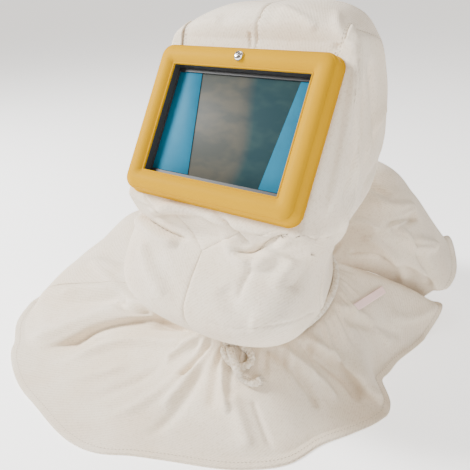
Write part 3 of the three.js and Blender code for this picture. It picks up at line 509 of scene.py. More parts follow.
def seat_on_frame(p):
    """Holds canvas flat behind the window frame's flange and lets it leave that plane outside it."""
    away = p - CENTRE
    n, v = away @ OUT, away @ UP
    sideways = np.maximum(np.abs(p[..., 0]) - FLANGE_W, 0) / FADE_SIDE
    upwards = np.maximum(np.abs(v) - FLANGE_H - np.where(v > 0, ROOM_ABOVE, ROOM_BELOW), 0) / FADE_UP
    hold = 1 - smooth(np.hypot(sideways, upwards))
    hold = np.where(n < SEAT - HOLD_DEPTH, 0, hold)
    return p + ((SEAT - n) * hold)[..., None] * OUT


def hood_base(angle, level):
    angle, level = np.broadcast_arrays(np.asarray(angle, float), np.asarray(level, float))
    front_y, front_z, back_y, back_z, half, wide_at, front_power, back_power = np.moveaxis(
        through(HOOD_COLUMNS, level), -1, 0)
    wide_y = mix(front_y, back_y, wide_at)
    s, c = np.sin(np.radians(angle)), np.cos(np.radians(angle))
    power = np.where(c > 0, front_power, back_power)
    k = (np.abs(s) ** power + np.abs(c) ** power) ** (-1 / power)
    y = np.where(c > 0, wide_y - (wide_y - front_y) * k * c, wide_y - (back_y - wide_y) * k * c)
    share = np.clip((y - front_y) / np.maximum(back_y - front_y, 1), 0, 1)
    z = mix(front_z, back_z, smooth(share))
    x = half * k * s - SWAY * smooth((level - 5.8) / 3)
    return seat_on_frame(np.stack([x, y, z], -1))


def hood_normal(angle, level):
    safe = np.maximum(level, 0.03)
    across = hood_base(angle + 0.4, safe) - hood_base(angle - 0.4, safe)
    along = hood_base(angle, safe + 0.02) - hood_base(angle, safe - 0.02)
    return unit(np.cross(along, across))


def level_at_window(v):
    low, high = 3.5, 6.5
    for _ in range(40):
        middle = (low + high) / 2
        if (hood_base(0, middle) - CENTRE) @ UP > v:
            low = middle
        else:
            high = middle
    return (low + high) / 2


def angle_at_width(x, level):
    columns = through(HOOD_COLUMNS, level)
    share = np.minimum((x + SWAY * smooth((level - 5.8) / 3)) / columns[..., 4], 1)
    power = columns[..., 6]
    return np.degrees(np.arctan2(share, (1 - share ** power) ** (1 / power)))


TOP_LEVEL, BOTTOM_LEVEL = level_at_window(HOLE_H), level_at_window(-HOLE_H)
GUSSET_LEVEL, GUSSET_TIP, NECK_LEVEL = level_at_window(-HOLE_H - GUSSET_DROP), 8.0, 14.0
CORNER, CORNER_BACK = (72, 2.7), (75.5, 2.78)


def even_path(path, steps):
    """Even places of angle and level on the surface along a path of them."""
    if len(path) > 2:
        fine = through(path, np.linspace(0, len(path) - 1, 40 * (len(path) - 1) + 1))
    else:
        fine = np.linspace(path[0], path[-1], 41)
    points = hood_base(*fine.T)
    lengths = run_of(points)
    even = np.linspace(0, lengths[-1], steps + 1)
    return np.stack([np.interp(even, lengths, fine[:, k]) for k in (0, 1)], 1)


def joined(*paths):
    return np.concatenate([paths[0]] + [p[1:] for p in paths[1:]])


HOLE_STEPS, GUSSET_STEPS, CHIN_STEPS, ACROSS, SIDE_ACROSS = 52, 44, 84, 84, 36
hole_levels = np.linspace(TOP_LEVEL, GUSSET_LEVEL, HOLE_STEPS + 1)
hole_edge = np.stack([angle_at_width(HOLE_W, hole_levels), hole_levels], 1)
gusset_edge = even_path([hole_edge[-1], (0, GUSSET_TIP)], GUSSET_STEPS)
chin_edge = even_path([(0, GUSSET_TIP), (0, NECK_LEVEL)], CHIN_STEPS)
inner_edge = joined(hole_edge, gusset_edge, chin_edge)


def three_runs(*paths):
    """An edge in the runs that the panels share: beside the window, beside the gusset and down the chin."""
    return joined(*map(even_path, paths, (HOLE_STEPS, GUSSET_STEPS, CHIN_STEPS)))


ridge_edge = three_runs(
    [CORNER, (86, 3.4), (90, 4), (90, 6.4)], [(90, 6.4), (90, 8.5)], [(90, 8.5), (90, NECK_LEVEL)])
crown_edge = three_runs(
    [CORNER_BACK, (108, 3.6), (122, 5), (127, 6.3)], [(127, 6.3), (134, 8.3)],
    [(134, 8.3), (140, NECK_LEVEL)])
back_edge = three_runs([(180, 0.0), (180, 5.8)], [(180, 5.8), (180, 8.1)], [(180, 8.1), (180, NECK_LEVEL)])


def between(a, b, t):
    """Places between two edges: straight over the crown, by angle and level lower down."""
    a, b, t = a[:, None, :], b[:, None, :], t[None, :]
    level = mix(a[..., 1], b[..., 1], t)
    x, y = (mix(a[..., 1] * turn(np.radians(a[..., 0])), b[..., 1] * turn(np.radians(b[..., 0])), t)
            for turn in (np.sin, np.cos))
    low = smooth((level - 3.5) / 3)
    angle = mix(np.degrees(np.arctan2(x, y)), mix(a[..., 0], b[..., 0], t), low)
    return angle, mix(np.hypot(x, y), level, low)


# Folds and creases. Each is drawn through places of the photograph, cast on the plain surface; the width
# and the rise are millimetres, and a crease has a negative rise.
HOOD_FOLDS = [
    # width, rise, places
    (6, 2.0, 338, 8, 337, 20, 340, 32, 346, 40, 351, 47, 354, 57, 355, 80, 354, 120, 354, 190),
    (5, 3.0, 352, 60, 351, 85, 346, 120, 338, 160, 330, 195, 322, 218),
    (5, -2.6, 361, 72, 361, 100, 357, 135, 349, 172, 340, 205),
    (7, 2.5, 354, 190, 345, 210, 340, 225, 332, 250), (2.2, -1.6, 249, 31, 250, 40, 251, 48),
    (5, -1.6, 339, 42, 336, 51), (4.5, 3.2, 150, 210, 168, 207, 185, 207, 210, 212, 230, 222),
    (4, -3.0, 155, 217, 175, 214, 200, 218, 222, 230),
    (3.8, -5.0, 128, 197, 134, 206, 144, 216, 156, 225, 172, 234, 190, 240),
    (7, 4.5, 132, 217, 148, 228, 165, 240, 180, 243),
    (7, 4.5, 222, 232, 235, 250, 247, 262, 262, 262, 285, 241, 318, 232),
    (3.8, -4.4, 232, 250, 246, 254, 258, 250, 268, 242, 280, 236, 290, 234),
    (4.5, -2.4, 256, 258, 251, 270, 245, 282, 238, 300), (8, 2.0, 300, 245, 290, 268, 272, 290),
    (9, -2.5, 318, 240, 306, 268, 290, 292), (12, -1.4, 148, 246, 165, 275, 184, 305),
    (8, 1.8, 142, 240, 150, 270, 166, 296), (12, -2.5, 225, 285, 235, 310, 255, 322),
    (9, -3.0, 366, 60, 372, 100, 370, 150), (7, 2.2, 362, 160, 372, 128, 384, 108),
    (8, -2.6, 358, 205, 366, 180, 380, 158), (5, 1.6, 280, 6, 300, 16, 318, 30),
    (9, -2.0, 215, 20, 245, 14, 280, 16),
    (1.6, -1.1, 191, 314, 210, 321, 230, 327, 248, 328.5, 270, 325, 291, 320.5, 310, 312, 322, 304),
    (3.2, -4.0, 214, 212, 226, 221, 240, 234, 250, 246)]
# The same for what the photograph doesn't show, with places of angle and level
HIDDEN_FOLDS = [
    # width, rise, places
    (14, -4, -98, 4.8, -104, 7.0), (12, -5, -105, 8.2, -120, 9.6), (11, 4, -92, 7.2, -112, 8.4),
    (14, -4, 160, 3.2, 176, 4.6), (13, -5, -150, 6.4, -172, 8.4), (11, 4, 150, 9.2, 172, 10.6),
    (9, 3, -135, 9.0, -160, 10.2), (9, -3, 128, 7.4, 150, 8.6), (8, 3, 120, 9.5, 140, 10.8),
    (8, 2.5, 165, 5.6, 192, 6.4), (7, -3, -120, 4.0, -140, 5.2), (10, 3, -60, 10, -80, 11)]
# The seams' own widths and rises, and the gains by which those of the folds are taken
SEAM_W, SEAM_DIP, SEAM_SWELL_W, SEAM_SWELL = 1.7, -1.9, 9, 1.3
HOOD_SPREAD, FOLD_GAIN = 0.85, 1.5
CAPE_SPREAD, CAPE_GAIN = 0.75, 1.25
# Share of a fold's length over which it dies out, and how much of the fading its very end has passed
END_SHARE, END_START = 0.18, 0.15


def pairs(numbers):
    return np.reshape(numbers, (-1, 2))


def casting_tree(grids):
    points, faces, base = [], [], 0
    for grid in grids:
        rows, columns = grid.shape[:2]
        points.append(grid.reshape(-1, 3))
        faces.append(grid_faces(rows, columns) + base)
        base += rows * columns
    return BVHTree.FromPolygons(np.concatenate(points).tolist(), np.concatenate(faces).tolist())


def cast(tree, places):
    """Places of the photograph on a surface, as a smooth line."""
    found = []
    for u, v in pairs(places):
        hit = tree.ray_cast(Vector(EYE), Vector(sight(u, v)))[0]
        if hit is None:
            hit = tree.find_nearest(Vector(EYE + sight(u, v) * 620))[0]
        found.append(tuple(hit))
    return smooth_line(found, 3.0)


def rise_at(points, strokes):
    """How far the strokes lift or press each point."""
    total = np.zeros(len(points))
    for width, rise, line in strokes:
        low, high = line.min(0) - 3 * width, line.max(0) + 3 * width
        near = np.where(((points > low) & (points < high)).all(1))[0]
        if not len(near):
            continue
        best = np.full(len(near), 1e9)
        share = np.zeros(len(near))
        for i, place in enumerate(line):
            d = ((points[near] - place) ** 2).sum(1)
            closer = d < best
            best[closer] = d[closer]
            share[closer] = i / (len(line) - 1)
        fade = smooth(np.minimum(share, 1 - share) / END_SHARE + END_START)
        total[near] += rise * fade * np.exp(-best / width ** 2)
    return total


wrap_angles, wrap_levels = np.meshgrid(np.linspace(-180, 180, 181), np.linspace(0.05, 14, 150), indexing="ij")
hood_tree = casting_tree([hood_base(wrap_angles, wrap_levels)])
hood_strokes = [(HOOD_SPREAD * w, FOLD_GAIN * r, cast(hood_tree, places)) for w, r, *places in HOOD_FOLDS]
for w, r, *places in HIDDEN_FOLDS:
    hood_strokes.append((w, r, hood_base(*even_path(pairs(places), 12).T)))
seam_lines = {}
for end, side in (("left", 1), ("right", -1)):
    for seam, edge in (("ridge", ridge_edge), ("crown", crown_edge), ("gusset", gusset_edge)):
        seam_lines[f"{seam}_{end}"] = hood_base(*(edge * (side, 1)).T)
seam_lines["chin"] = hood_base(*chin_edge.T)
seam_lines["back"] = hood_base(*back_edge[1:].T)
front_top = np.linspace(TOP_LEVEL, 0.02, 40)
seam_lines["top"] = hood_base(0 * front_top, front_top)
hood_strokes += [(SEAM_W, SEAM_DIP, line) for line in seam_lines.values()]
hood_strokes += [(SEAM_SWELL_W, SEAM_SWELL, line) for key, line in seam_lines.items()
                 if key[:5] in ("crown", "ridge")]


def hood_point(angle, level):
    """The hood's cloth with its folds, seams and small lumps, flat beside the frame."""
    p = hood_base(angle, level)
    flat = p.reshape(-1, 3)
    n = hood_normal(angle, level).reshape(-1, 3)
    n[np.broadcast_to(level, p.shape[:-1]).ravel() < 0.05] = (0, 0, 1)
    rise = rise_at(flat, hood_strokes)
    lump = 0.7 * np.sin(flat[:, 0] / 17 + flat[:, 2] / 23) * np.sin(flat[:, 1] / 21 - flat[:, 2] / 14)
    away = flat - CENTRE
    beside_flange = np.hypot(
        np.maximum(np.abs(flat[:, 0]) - FLANGE_W, 0), np.maximum(np.abs(away @ UP) - FLANGE_H, 0))
    free = np.where(away @ OUT > SEAT - 20, smooth((beside_flange - 1) / 6), 1)
    rise = (rise + lump) * free
    return (flat + n * rise[:, None]).reshape(p.shape)


def cloth_uv(grid):
    """Flat places for the weave, from the lengths along the grid's middle lines."""
    across = run_of(grid[:, grid.shape[1] // 2])
    along = run_of(grid[grid.shape[0] // 2])
    u, v = np.meshgrid(across, along, indexing="ij")
    return np.stack([u, v], -1).reshape(-1, 2)


def cloth_piece(name, grid, node, flip=False):
    faces = grid_faces(*grid.shape[:2])
    if flip:
        faces = faces[:, ::-1]
    piece = new_mesh(name, grid.reshape(-1, 3), faces, CANVAS, cloth_uv(grid))
    dress(thick(piece), "canvas", node)


crown_front = 44
centre_levels = np.concatenate([np.linspace(TOP_LEVEL, 0.8, crown_front), back_edge[:, 1]])
centre_angles = np.concatenate([np.zeros(crown_front), np.full(len(back_edge), 180.0)])
centre_angles[crown_front] = 180
centre_edge = np.stack([centre_angles, centre_levels], 1)
top_t = np.linspace(0, 1, crown_front)
top_angle, top_level = between(hole_edge[:1], np.array([CORNER], float), top_t)
crown_outer = np.concatenate([np.stack([top_angle[0], top_level[0]], 1), crown_edge])
panel_grids = {}
for end, side in (("left", 1), ("right", -1)):
    edges = {
        "crown": (centre_edge, crown_outer, 72), "front": (inner_edge, ridge_edge, ACROSS),
        "side": (ridge_edge, crown_edge, SIDE_ACROSS)}
    for kind, (a, b, steps) in edges.items():
        angle, level = between(a, b, np.linspace(0, 1, steps + 1))
        grid = hood_point(side * angle, level)
        panel_grids[f"{kind}_{end}"] = grid
        cloth_piece(f"panel_{kind}_{end}", grid, f"{kind}_{end}", flip=side > 0)

gusset_rows = np.arange(-GUSSET_STEPS, GUSSET_STEPS + 1)
low_edge = gusset_edge[GUSSET_STEPS - np.abs(gusset_rows)]
top_angles = np.abs(gusset_rows) / GUSSET_STEPS * angle_at_width(HOLE_W, BOTTOM_LEVEL)
down = np.linspace(0, 1, 27)[None, :]
gusset_angle = mix(top_angles[:, None], low_edge[:, :1], down) * np.sign(gusset_rows)[:, None]
gusset_level = mix(BOTTOM_LEVEL, low_edge[:, 1:], down)
panel_grids["gusset"] = hood_point(gusset_angle, gusset_level)
cloth_piece("panel_gusset", panel_grids["gusset"], "chin_gusset")


# Cape: the part's sections round the neck. Reaches are shares of the cape's reach, heights of its rise.
CAPE_FRONT = [
    # angle, near reach, near height, far reach, far height, rim reach, rim height
    (-76, 0.28, 0.38, 0.98, 0.21, 1.20, 0), (-68, 0.28, 0.34, 0.88, 0.12, 1.15, 0),
    (-61, 0.28, 0.31, 0.70, 0.13, 1.07, 0), (-56, 0.28, 0.20, 0.64, 0.05, 1.04, 0),
    (-45, 0.26, 0.16, 0.56, 0.05, 0.935, 0), (-35, 0.24, 0.15, 0.50, 0.045, 0.835, 0),
    (-21, 0.22, 0.16, 0.45, 0.045, 0.75, 0), (-14, 0.20, 0.17, 0.42, 0.05, 0.69, 0),
    (-6, 0.18, 0.18, 0.35, 0.06, 0.59, 0), (6, 0.18, 0.17, 0.32, 0.06, 0.515, 0),
    (23, 0.175, 0.18, 0.30, 0.065, 0.47, 0), (37, 0.165, 0.19, 0.28, 0.07, 0.435, 0),
    (50, 0.15, 0.19, 0.24, 0.075, 0.365, 0), (63, 0.14, 0.19, 0.23, 0.08, 0.36, 0),
    (77, 0.14, 0.18, 0.235, 0.075, 0.38, 0), (84, 0.135, 0.27, 0.225, 0.20, 0.375, 0.03),
    (97, 0.13, 0.31, 0.20, 0.18, 0.285, 0.03), (108, 0.13, 0.34, 0.20, 0.19, 0.31, 0),
    (118, 0.15, 0.39, 0.25, 0.21, 0.37, 0), (130, 0.20, 0.43, 0.37, 0.25, 0.53, 0.01),
    (137, 0.28, 0.45, 0.48, 0.30, 0.665, 0.16), (146, 0.28, 0.43, 0.50, 0.24, 0.62, 0.08)]
CAPE_BACK = [
    (146, 0.28, 0.447, 0.50, 0.257, 0.62, 0.097), (140, 0.28, 0.55, 0.48, 0.43, 0.64, 0.25),
    (136, 0.27, 0.62, 0.47, 0.50, 0.665, 0.30), (138, 0.28, 0.72, 0.50, 0.61, 0.73, 0.37),
    (142, 0.28, 0.80, 0.52, 0.72, 0.775, 0.45), (148, 0.28, 0.88, 0.55, 0.84, 0.81, 0.54),
    (154, 0.29, 0.94, 0.58, 0.93, 0.84, 0.42), (162, 0.30, 1.00, 0.60, 0.98, 0.87, 0.18),
    (174, 0.31, 1.03, 0.60, 0.98, 0.91, 0.01), (186, 0.31, 1.00, 0.60, 0.90, 0.92, 0),
    (198, 0.30, 0.90, 0.60, 0.76, 0.88, 0), (212, 0.28, 0.76, 0.60, 0.60, 0.86, 0),
    (230, 0.28, 0.62, 0.66, 0.52, 0.93, 0), (245, 0.28, 0.58, 0.80, 0.55, 1.05, 0),
    (256, 0.28, 0.56, 0.92, 0.54, 1.16, 0), (267, 0.28, 0.50, 0.90, 0.43, 1.14, 0),
    (277, 0.28, 0.43, 0.96, 0.31, 1.18, 0), (283.7, 0.28, 0.38, 0.98, 0.21, 1.20, 0)]
SHARES = np.concatenate([np.linspace(0, 1, 7)[:-1], np.linspace(1, 4, 76)])


def cape_grid(rows, per_row):
    """The plain cape: sections by stations at the neck, collar, near, far and rim, with the hem last."""
    rows = np.array(rows, float)
    count = len(rows) - 1
    at = np.linspace(0, count, count * per_row + 1)
    angle, near_r, near_h, far_r, far_h, rim_r, rim_h = np.moveaxis(through(rows, at), -1, 0)
    neck_angle = angle
    if rows[0, 0] > 0:
        neck_angle = through(mix(rows[0, 0], rows[-1, 0], (np.arange(count + 1) / count) ** 1.3), at)
    start = neck_height(neck_angle) - CASING_DROP - CASING_H - CLEAR
    nothing = np.zeros_like(angle)
    stations = np.stack([np.stack(station, -1) for station in (
        (neck_angle, nothing, start), (neck_angle, nothing + CORD_D + 5, start - 4),
        (angle, near_r * CAPE_REACH, near_h * CAPE_RISE), (angle, far_r * CAPE_REACH, far_h * CAPE_RISE),
        (angle, rim_r * CAPE_REACH - HEM, rim_h * CAPE_RISE))])
    sections = through(stations, SHARES)
    sections = np.concatenate([sections, [sections[-1] + (0, HEM * t, 0) for t in (0.33, 0.66, 1.0)]])
    grid = around_neck(sections[..., 0], NECK_R + sections[..., 1], np.maximum(sections[..., 2], CLOTH))
    return np.swapaxes(grid, 0, 1)


CAPE_FOLDS = [
    # width, rise, places
    (9, -7, 206, 326, 180, 324, 150, 322, 120, 325, 95, 331, 75, 342, 50, 350, 24, 352),
    (12, 4, 196, 309, 160, 305, 130, 306, 100, 314, 72, 324, 45, 334, 20, 338),
    (11, 4, 205, 340, 175, 342, 140, 341, 110, 345, 80, 357, 50, 366),
    (8, -6, 118, 300, 128, 308, 140, 312, 152, 313), (5, -5, 206, 330, 190, 327, 172, 325, 150, 325),
    (6, 5, 208, 334, 196, 342, 180, 352, 165, 362), (6, -4.5, 212, 340, 203, 352, 192, 364, 178, 376),
    (6, 5, 226, 352, 224, 368, 224, 390, 228, 415), (6, -4, 262, 345, 285, 362, 305, 384, 322, 410),
    (7, 4, 272, 342, 296, 358, 318, 378, 338, 402), (3, -1.2, 109, 255, 117, 260, 126, 264),
    (8, 3, 212, 336, 205, 350, 196, 366, 182, 385, 160, 408),
    (9, -2.5, 222, 340, 218, 362, 214, 385, 212, 410),
    (8, 5, 298, 328, 318, 345, 345, 362, 360, 375, 370, 390, 388, 406),
    (8, -5, 296, 338, 315, 356, 338, 372, 352, 386, 360, 402), (4, -1.5, 252, 398, 262, 425, 275, 456),
    (10, 2.5, 232, 392, 240, 420, 250, 452), (6, 3.5, 338, 226, 352, 222, 368, 224, 380, 230),
    (6, -4.5, 385, 226, 395, 221, 415, 217, 432, 217), (8, 4.5, 396, 224, 415, 247, 434, 245, 454, 236),
    (8, -4, 366, 180, 378, 187, 392, 196), (7, -3, 348, 252, 366, 254, 386, 260),
    (8, 3, 360, 236, 378, 244, 396, 262, 404, 282), (8, -3.5, 410, 232, 424, 262, 430, 286),
    (9, 3, 372, 196, 390, 206, 412, 208, 434, 206), (9, 3, 60, 292, 90, 288, 118, 290),
    (10, -3, 40, 300, 70, 303, 100, 300, 125, 297), (10, 2.5, 70, 262, 95, 262, 120, 272),
    (9, 2.5, 30, 372, 60, 380, 92, 376, 130, 366), (9, -2.5, 52, 398, 90, 398, 130, 384, 165, 362),
    (10, 2.5, 90, 424, 125, 412, 158, 392, 188, 364), (9, -2.5, 142, 444, 168, 420, 190, 392, 204, 362),
    (9, 2.5, 390, 316, 412, 318, 438, 304), (8, -3, 340, 318, 372, 326, 404, 336),
    (8, 3, 336, 304, 362, 316, 392, 346)]
CAPE_HIDDEN = [
    # width, rise, places of the back table's row number and share of the section
    (14, -5, 9.5, 0.6, 9.2, 1.5, 9.6, 2.6, 9.3, 3.8), (15, 5, 8.2, 1.2, 7.9, 2.2, 8.2, 3.4),
    (14, -5, 11.3, 1.1, 11.0, 2.1, 11.4, 3.4), (15, 5, 10.5, 1.4, 10.4, 2.4, 10.6, 3.7),
    (15, 5, 12.4, 1.3, 12.3, 2.2, 12.5, 3.5), (14, -5, 13.5, 1.2, 13.4, 2.3, 13.6, 3.6),
    (15, 4, 14.6, 1.3, 14.5, 2.4, 14.6, 3.5), (13, -4, 15.7, 1.5, 15.6, 2.6, 15.8, 3.6),
    (12, -4, 6.4, 1.4, 6.2, 2.4, 6.5, 3.4)]
PER_ROW = 16
cape_front, cape_back = cape_grid(CAPE_FRONT, PER_ROW), cape_grid(CAPE_BACK, PER_ROW)
cape_tree = casting_tree([cape_front, cape_back])
cape_strokes = [(CAPE_SPREAD * w, CAPE_GAIN * FOLD_GAIN * r, cast(cape_tree, places))
                for w, r, *places in CAPE_FOLDS]
for w, r, *places in CAPE_HIDDEN:
    rows = [cape_back[int(round(row * PER_ROW)), int(round(np.interp(share, SHARES, np.arange(len(SHARES)))))]
            for row, share in pairs(places)]
    cape_strokes.append((w, r, smooth_line(rows, 4.0)))


GATHER_AT, GATHER_WIDE = 22, 15


def folded_cape(grid):
    """The plain cape with its folds, small lumps and the gathers below the cord."""
    normal = grid_normals(grid)
    normal[normal[..., 2] < 0] *= -1 if (normal[..., 2] < 0).mean() > 0.5 else 1
    flat, n = grid.reshape(-1, 3), normal.reshape(-1, 3)
    rise = rise_at(flat, cape_strokes)
    x, y = flat[:, 0], flat[:, 1]
    rise += 0.9 * np.sin(x / 23 + 1.3 * np.sin(y / 31)) * np.sin(y / 27 - x / 60)
    turn = np.arctan2(x + SWAY, -y)
    reach = np.hypot(x + SWAY, y) - NECK_R
    gather = np.exp(-((reach - GATHER_AT) / GATHER_WIDE) ** 2) * smooth((reach - 6) / 12)
    rise += gather * (1.5 * np.sin(turn * 34) + 1.0 * np.sin(turn * 57 + 1.0))
    ground = smooth((flat[:, 2] - CLOTH) / 7)
    moved = flat + n * (rise * ground)[:, None]
    moved[:, 2] = np.maximum(moved[:, 2], CLOTH)
    return moved.reshape(grid.shape)


# How far the back cut's first rows are tucked down under the front cut, and over how many rows and places
SEAM_TUCK, TUCK_ROWS = 3.2, 8
for name, plain in (("front", cape_front), ("back", cape_back)):
    folded = folded_cape(plain)
    if name == "back":
        tuck = 1 - smooth(np.arange(len(folded)) / TUCK_ROWS)
        folded[..., 2] -= SEAM_TUCK * tuck[:, None] * smooth(np.arange(folded.shape[1]) / TUCK_ROWS)
        folded[..., 2] = np.maximum(folded[..., 2], CLOTH)
    panel_grids[f"cape_{name}"] = folded
    cloth_piece(f"cape_{name}_cloth", folded, f"cape_{name}", flip=True)


# Casing round the neck, gathered by the cord
CASING_AROUND, CASING_DOWN, CASING_GATHERS = 240, 12, 62
casing_angles = np.linspace(0, 360, CASING_AROUND, endpoint=False)[:, None]
casing_share = np.linspace(0, 1, CASING_DOWN)[None, :]
casing_z = neck_height(casing_angles) - CASING_DROP - CASING_H * casing_share
casing_wave = 0.5 * np.sin(np.radians(casing_angles) * CASING_GATHERS) * np.sin(np.pi * casing_share)
casing_r = NECK_R - 0.8 + casing_wave
casing = around_neck(casing_angles, casing_r + 0 * casing_z, casing_z)
casing_uv = np.stack(
    np.broadcast_arrays(np.radians(casing_angles) * NECK_R, casing_z), -1).reshape(-1, 2)
casing_faces = grid_faces(CASING_AROUND, CASING_DOWN, wrapped=True)
casing_piece = new_mesh("casing_band", casing.reshape(-1, 3), casing_faces, CANVAS, casing_uv)
dress(thick(casing_piece), "canvas", "neck_casing")


# Stitches: short threads on a cloth grid's surface, with their rows' distances from the seams and borders
THREAD_LIFT, SEAM_ROW, SEAM_ROW_2, CHIN_ROW_2, NECK_ROW, HEM_ROW = 0.15, 2.5, 6.5, 6.0, 9.0, 8.0


def at_length(values, lengths, place):
    return np.array([np.interp(place, lengths, values[:, k]) for k in range(3)])


def stitches(name, lines, long=2.8, gap=1.3, wide=0.5):
    """Lines are pairs of places and normals; each stitch is a small spindle lying on the cloth."""
    points, faces = [], []
    for line, normals in lines:
        lengths = run_of(line)
        starts = np.arange(1, lengths[-1] - long, long + gap)
        for start in starts:
            a, b = (at_length(line, lengths, s) for s in (start, start + long))
            n = unit(at_length(normals, lengths, start + long / 2))
            ahead = unit(b - a)
            side = np.cross(n, ahead)
            base = len(points)
            middle = (a + b) / 2 + n * wide * 0.4
            points += [
                a - n * 0.1, middle + side * wide, middle + n * wide, middle - side * wide, b - n * 0.1]
            faces += [*(base + np.array([(0, 2, 1), (0, 3, 2), (4, 1, 2), (4, 2, 3)]))]
    dress(new_mesh(name, np.array(points), faces, THREAD), "canvas")


def border_lines(grid, index, distances, outward):
    """Lines of a grid at distances from its first or last column, with the surface's normals."""
    step = 1 if index == 0 else -1
    n = grid_normals(grid)[:, index]
    spacing = max(np.linalg.norm(grid[:, index + step] - grid[:, index], axis=1).mean(), 0.01)
    lines = []
    for distance in distances:
        columns = distance / spacing
        lower = int(columns)
        line = mix(grid[:, index + step * lower], grid[:, index + step * (lower + 1)], columns - lower)
        facing = n if (n * outward(line)).sum(1).mean() > 0 else -n
        lines.append((line + THREAD_LIFT * facing, facing))
    return lines


def from_axis(line):
    away = line - np.array([-5.0, 20.0, 250.0])
    away[:, 2] *= 0.6
    return away


def upward(line):
    return np.broadcast_to(np.array([0, 0, 1.0]), line.shape)


seam_rows = []
for end in ("left", "right"):
    for kind, distances in (
            ("front", (SEAM_ROW, SEAM_ROW_2)), ("side", (SEAM_ROW,)), ("crown", (SEAM_ROW, SEAM_ROW_2))):
        seam_rows += border_lines(panel_grids[f"{kind}_{end}"], -1, distances, from_axis)
seam_rows += border_lines(panel_grids["front_left"][HOLE_STEPS:], 0, (SEAM_ROW, CHIN_ROW_2), from_axis)
seam_rows += border_lines(panel_grids["front_right"][HOLE_STEPS:], 0, (SEAM_ROW,), from_axis)
seam_rows += border_lines(panel_grids["crown_left"], 0, (SEAM_ROW,), from_axis)
for end in ("left", "right"):
    for kind in ("front", "side", "crown"):
        seam_rows += border_lines(panel_grids[f"{kind}_{end}"].swapaxes(0, 1), -1, (NECK_ROW,), from_axis)
stitches("hood_stitches", seam_rows)
stitches("cape_stitches", [
    border_lines(panel_grids[f"cape_{name}"], -1, (HEM_ROW,), upward)[0] for name in ("front", "back")])


# Window frame, gasket, backing ring, pane and films, made in the window's plane

def window_place(u, v, n):
    u, v, n = np.broadcast_arrays(u, v, n)
    return CENTRE + u[..., None] * np.array([1.0, 0, 0]) + v[..., None] * UP + n[..., None] * OUT


CORNER_STEPS = 12
# Radius of the opening's corners, and what each millimetre outwards adds to it
CORNER_R, CORNER_GROWTH = 0.8, 0.55


def window_loop(half_w, half_h, radius, n):
    turn = np.radians(np.concatenate([np.linspace(a, a + 90, CORNER_STEPS + 1) for a in (0, 90, 180, 270)]))
    sx = np.repeat([1, -1, -1, 1], CORNER_STEPS + 1)
    sy = np.repeat([1, 1, -1, -1], CORNER_STEPS + 1)
    return window_place(
        sx * (half_w - radius) + radius * np.cos(turn), sy * (half_h - radius) + radius * np.sin(turn), n)


def offset_loop(side, top, n):
    return window_loop(WINDOW_W / 2 + side, WINDOW_H / 2 + top, CORNER_R + max(side, 0) * CORNER_GROWTH, n)


def sharp_above(piece, degrees):
    """Smooth shading that stays sharp at edges above an angle."""
    piece.data.set_sharp_from_angle(angle=math.radians(degrees))
    return piece


def window_ring(name, loops, material, sharp, slot, node):
    """A ring of loops whose last is joined to the first."""
    faces = loop_faces(len(loops[0]), len(loops), closed=True)
    dress(sharp_above(new_mesh(name, np.concatenate(loops), faces, material), sharp), slot, node)


GASKET_ROOM = 1.8 + 2 * CLEAR
FACE = [
    # share of the border from the opening outwards, share of the face's rise
    (0, -0.12), (0.008, 0.12), (0.03, 0.24), (0.055, 0.24), (0.08, 0.12), (0.10, 0.10), (0.13, 0.22),
    (0.19, 0.46), (0.26, 0.68), (0.34, 0.86), (0.43, 0.97), (0.52, 1.0), (0.62, 0.96), (0.72, 0.86),
    (0.81, 0.68), (0.88, 0.46), (0.925, 0.24), (0.945, 0.10), (0.955, 0.07), (0.965, 0.10), (0.985, 0.02),
    (1.0, -0.14)]
SIDE_WALL = [
    # share of the flange outwards, share of the frame's depth
    (0.2, 0.1), (0.35, 0.25), (0.4, 0.66), (0.46, 0.735), (0.62, 0.765), (0.9, 0.785), (1, 0.80), (1, 0.985),
    (0.96, 1.0)]
section = [(GASKET_ROOM, -FRAME_LIP), (0.3, -FRAME_LIP), (0, -FRAME_LIP + 0.3)]
section += [(share * BORDER, rise * FACE_RISE) for share, rise in FACE]
section += [(BORDER + FLANGE * share, -FRAME_DEPTH * depth) for share, depth in SIDE_WALL]
section.append((GASKET_ROOM, -FRAME_DEPTH))
loops = [offset_loop(out, out, n) for out, n in section]
window_ring("bezel", loops, YELLOW, 50, "yellow_plastic", "window_frame")

front, back = -(FRAME_LIP + CLEAR), -(FRAME_LIP + CLEAR) - GASKET_DEPTH
lip = back + LIP_THICK
window_ring("gasket", [offset_loop(side, top, n) for side, top, n in (
    (2.0, 2.0, front), (0.4, 0.4, front), (0.2, 0.2, front - 0.3), (0.2, 0.2, lip + 0.3), (0.0, 0.0, lip),
    (0.2 - LIP_SIDE, 0.2 - LIP_TOP, lip), (-LIP_SIDE, -LIP_TOP, lip - 0.3), (-LIP_SIDE, -LIP_TOP, back),
    (2.0, 2.0, back))],
    RUBBER, 40, "black_rubber", "window_gasket")

front = SEAT - CLOTH - CLEAR
window_ring("backing", [window_loop(WINDOW_W / 2 + side, WINDOW_H / 2 + side, 16, n) for side, n in (
    (14, front), (-3.0, front), (-3.5, front - 0.5), (-3.5, front - 3), (14, front - 3))],
    BACKING, 40, "black_plastic", "backing_ring")


def capped(name, loops, material):
    """A closed mesh of loops whose first and last are filled."""
    count, total = len(loops[0]), len(loops)
    faces = [range(count), range(total * count - 1, (total - 1) * count - 1, -1), *loop_faces(count, total)]
    return new_mesh(name, np.concatenate(loops), faces, material)


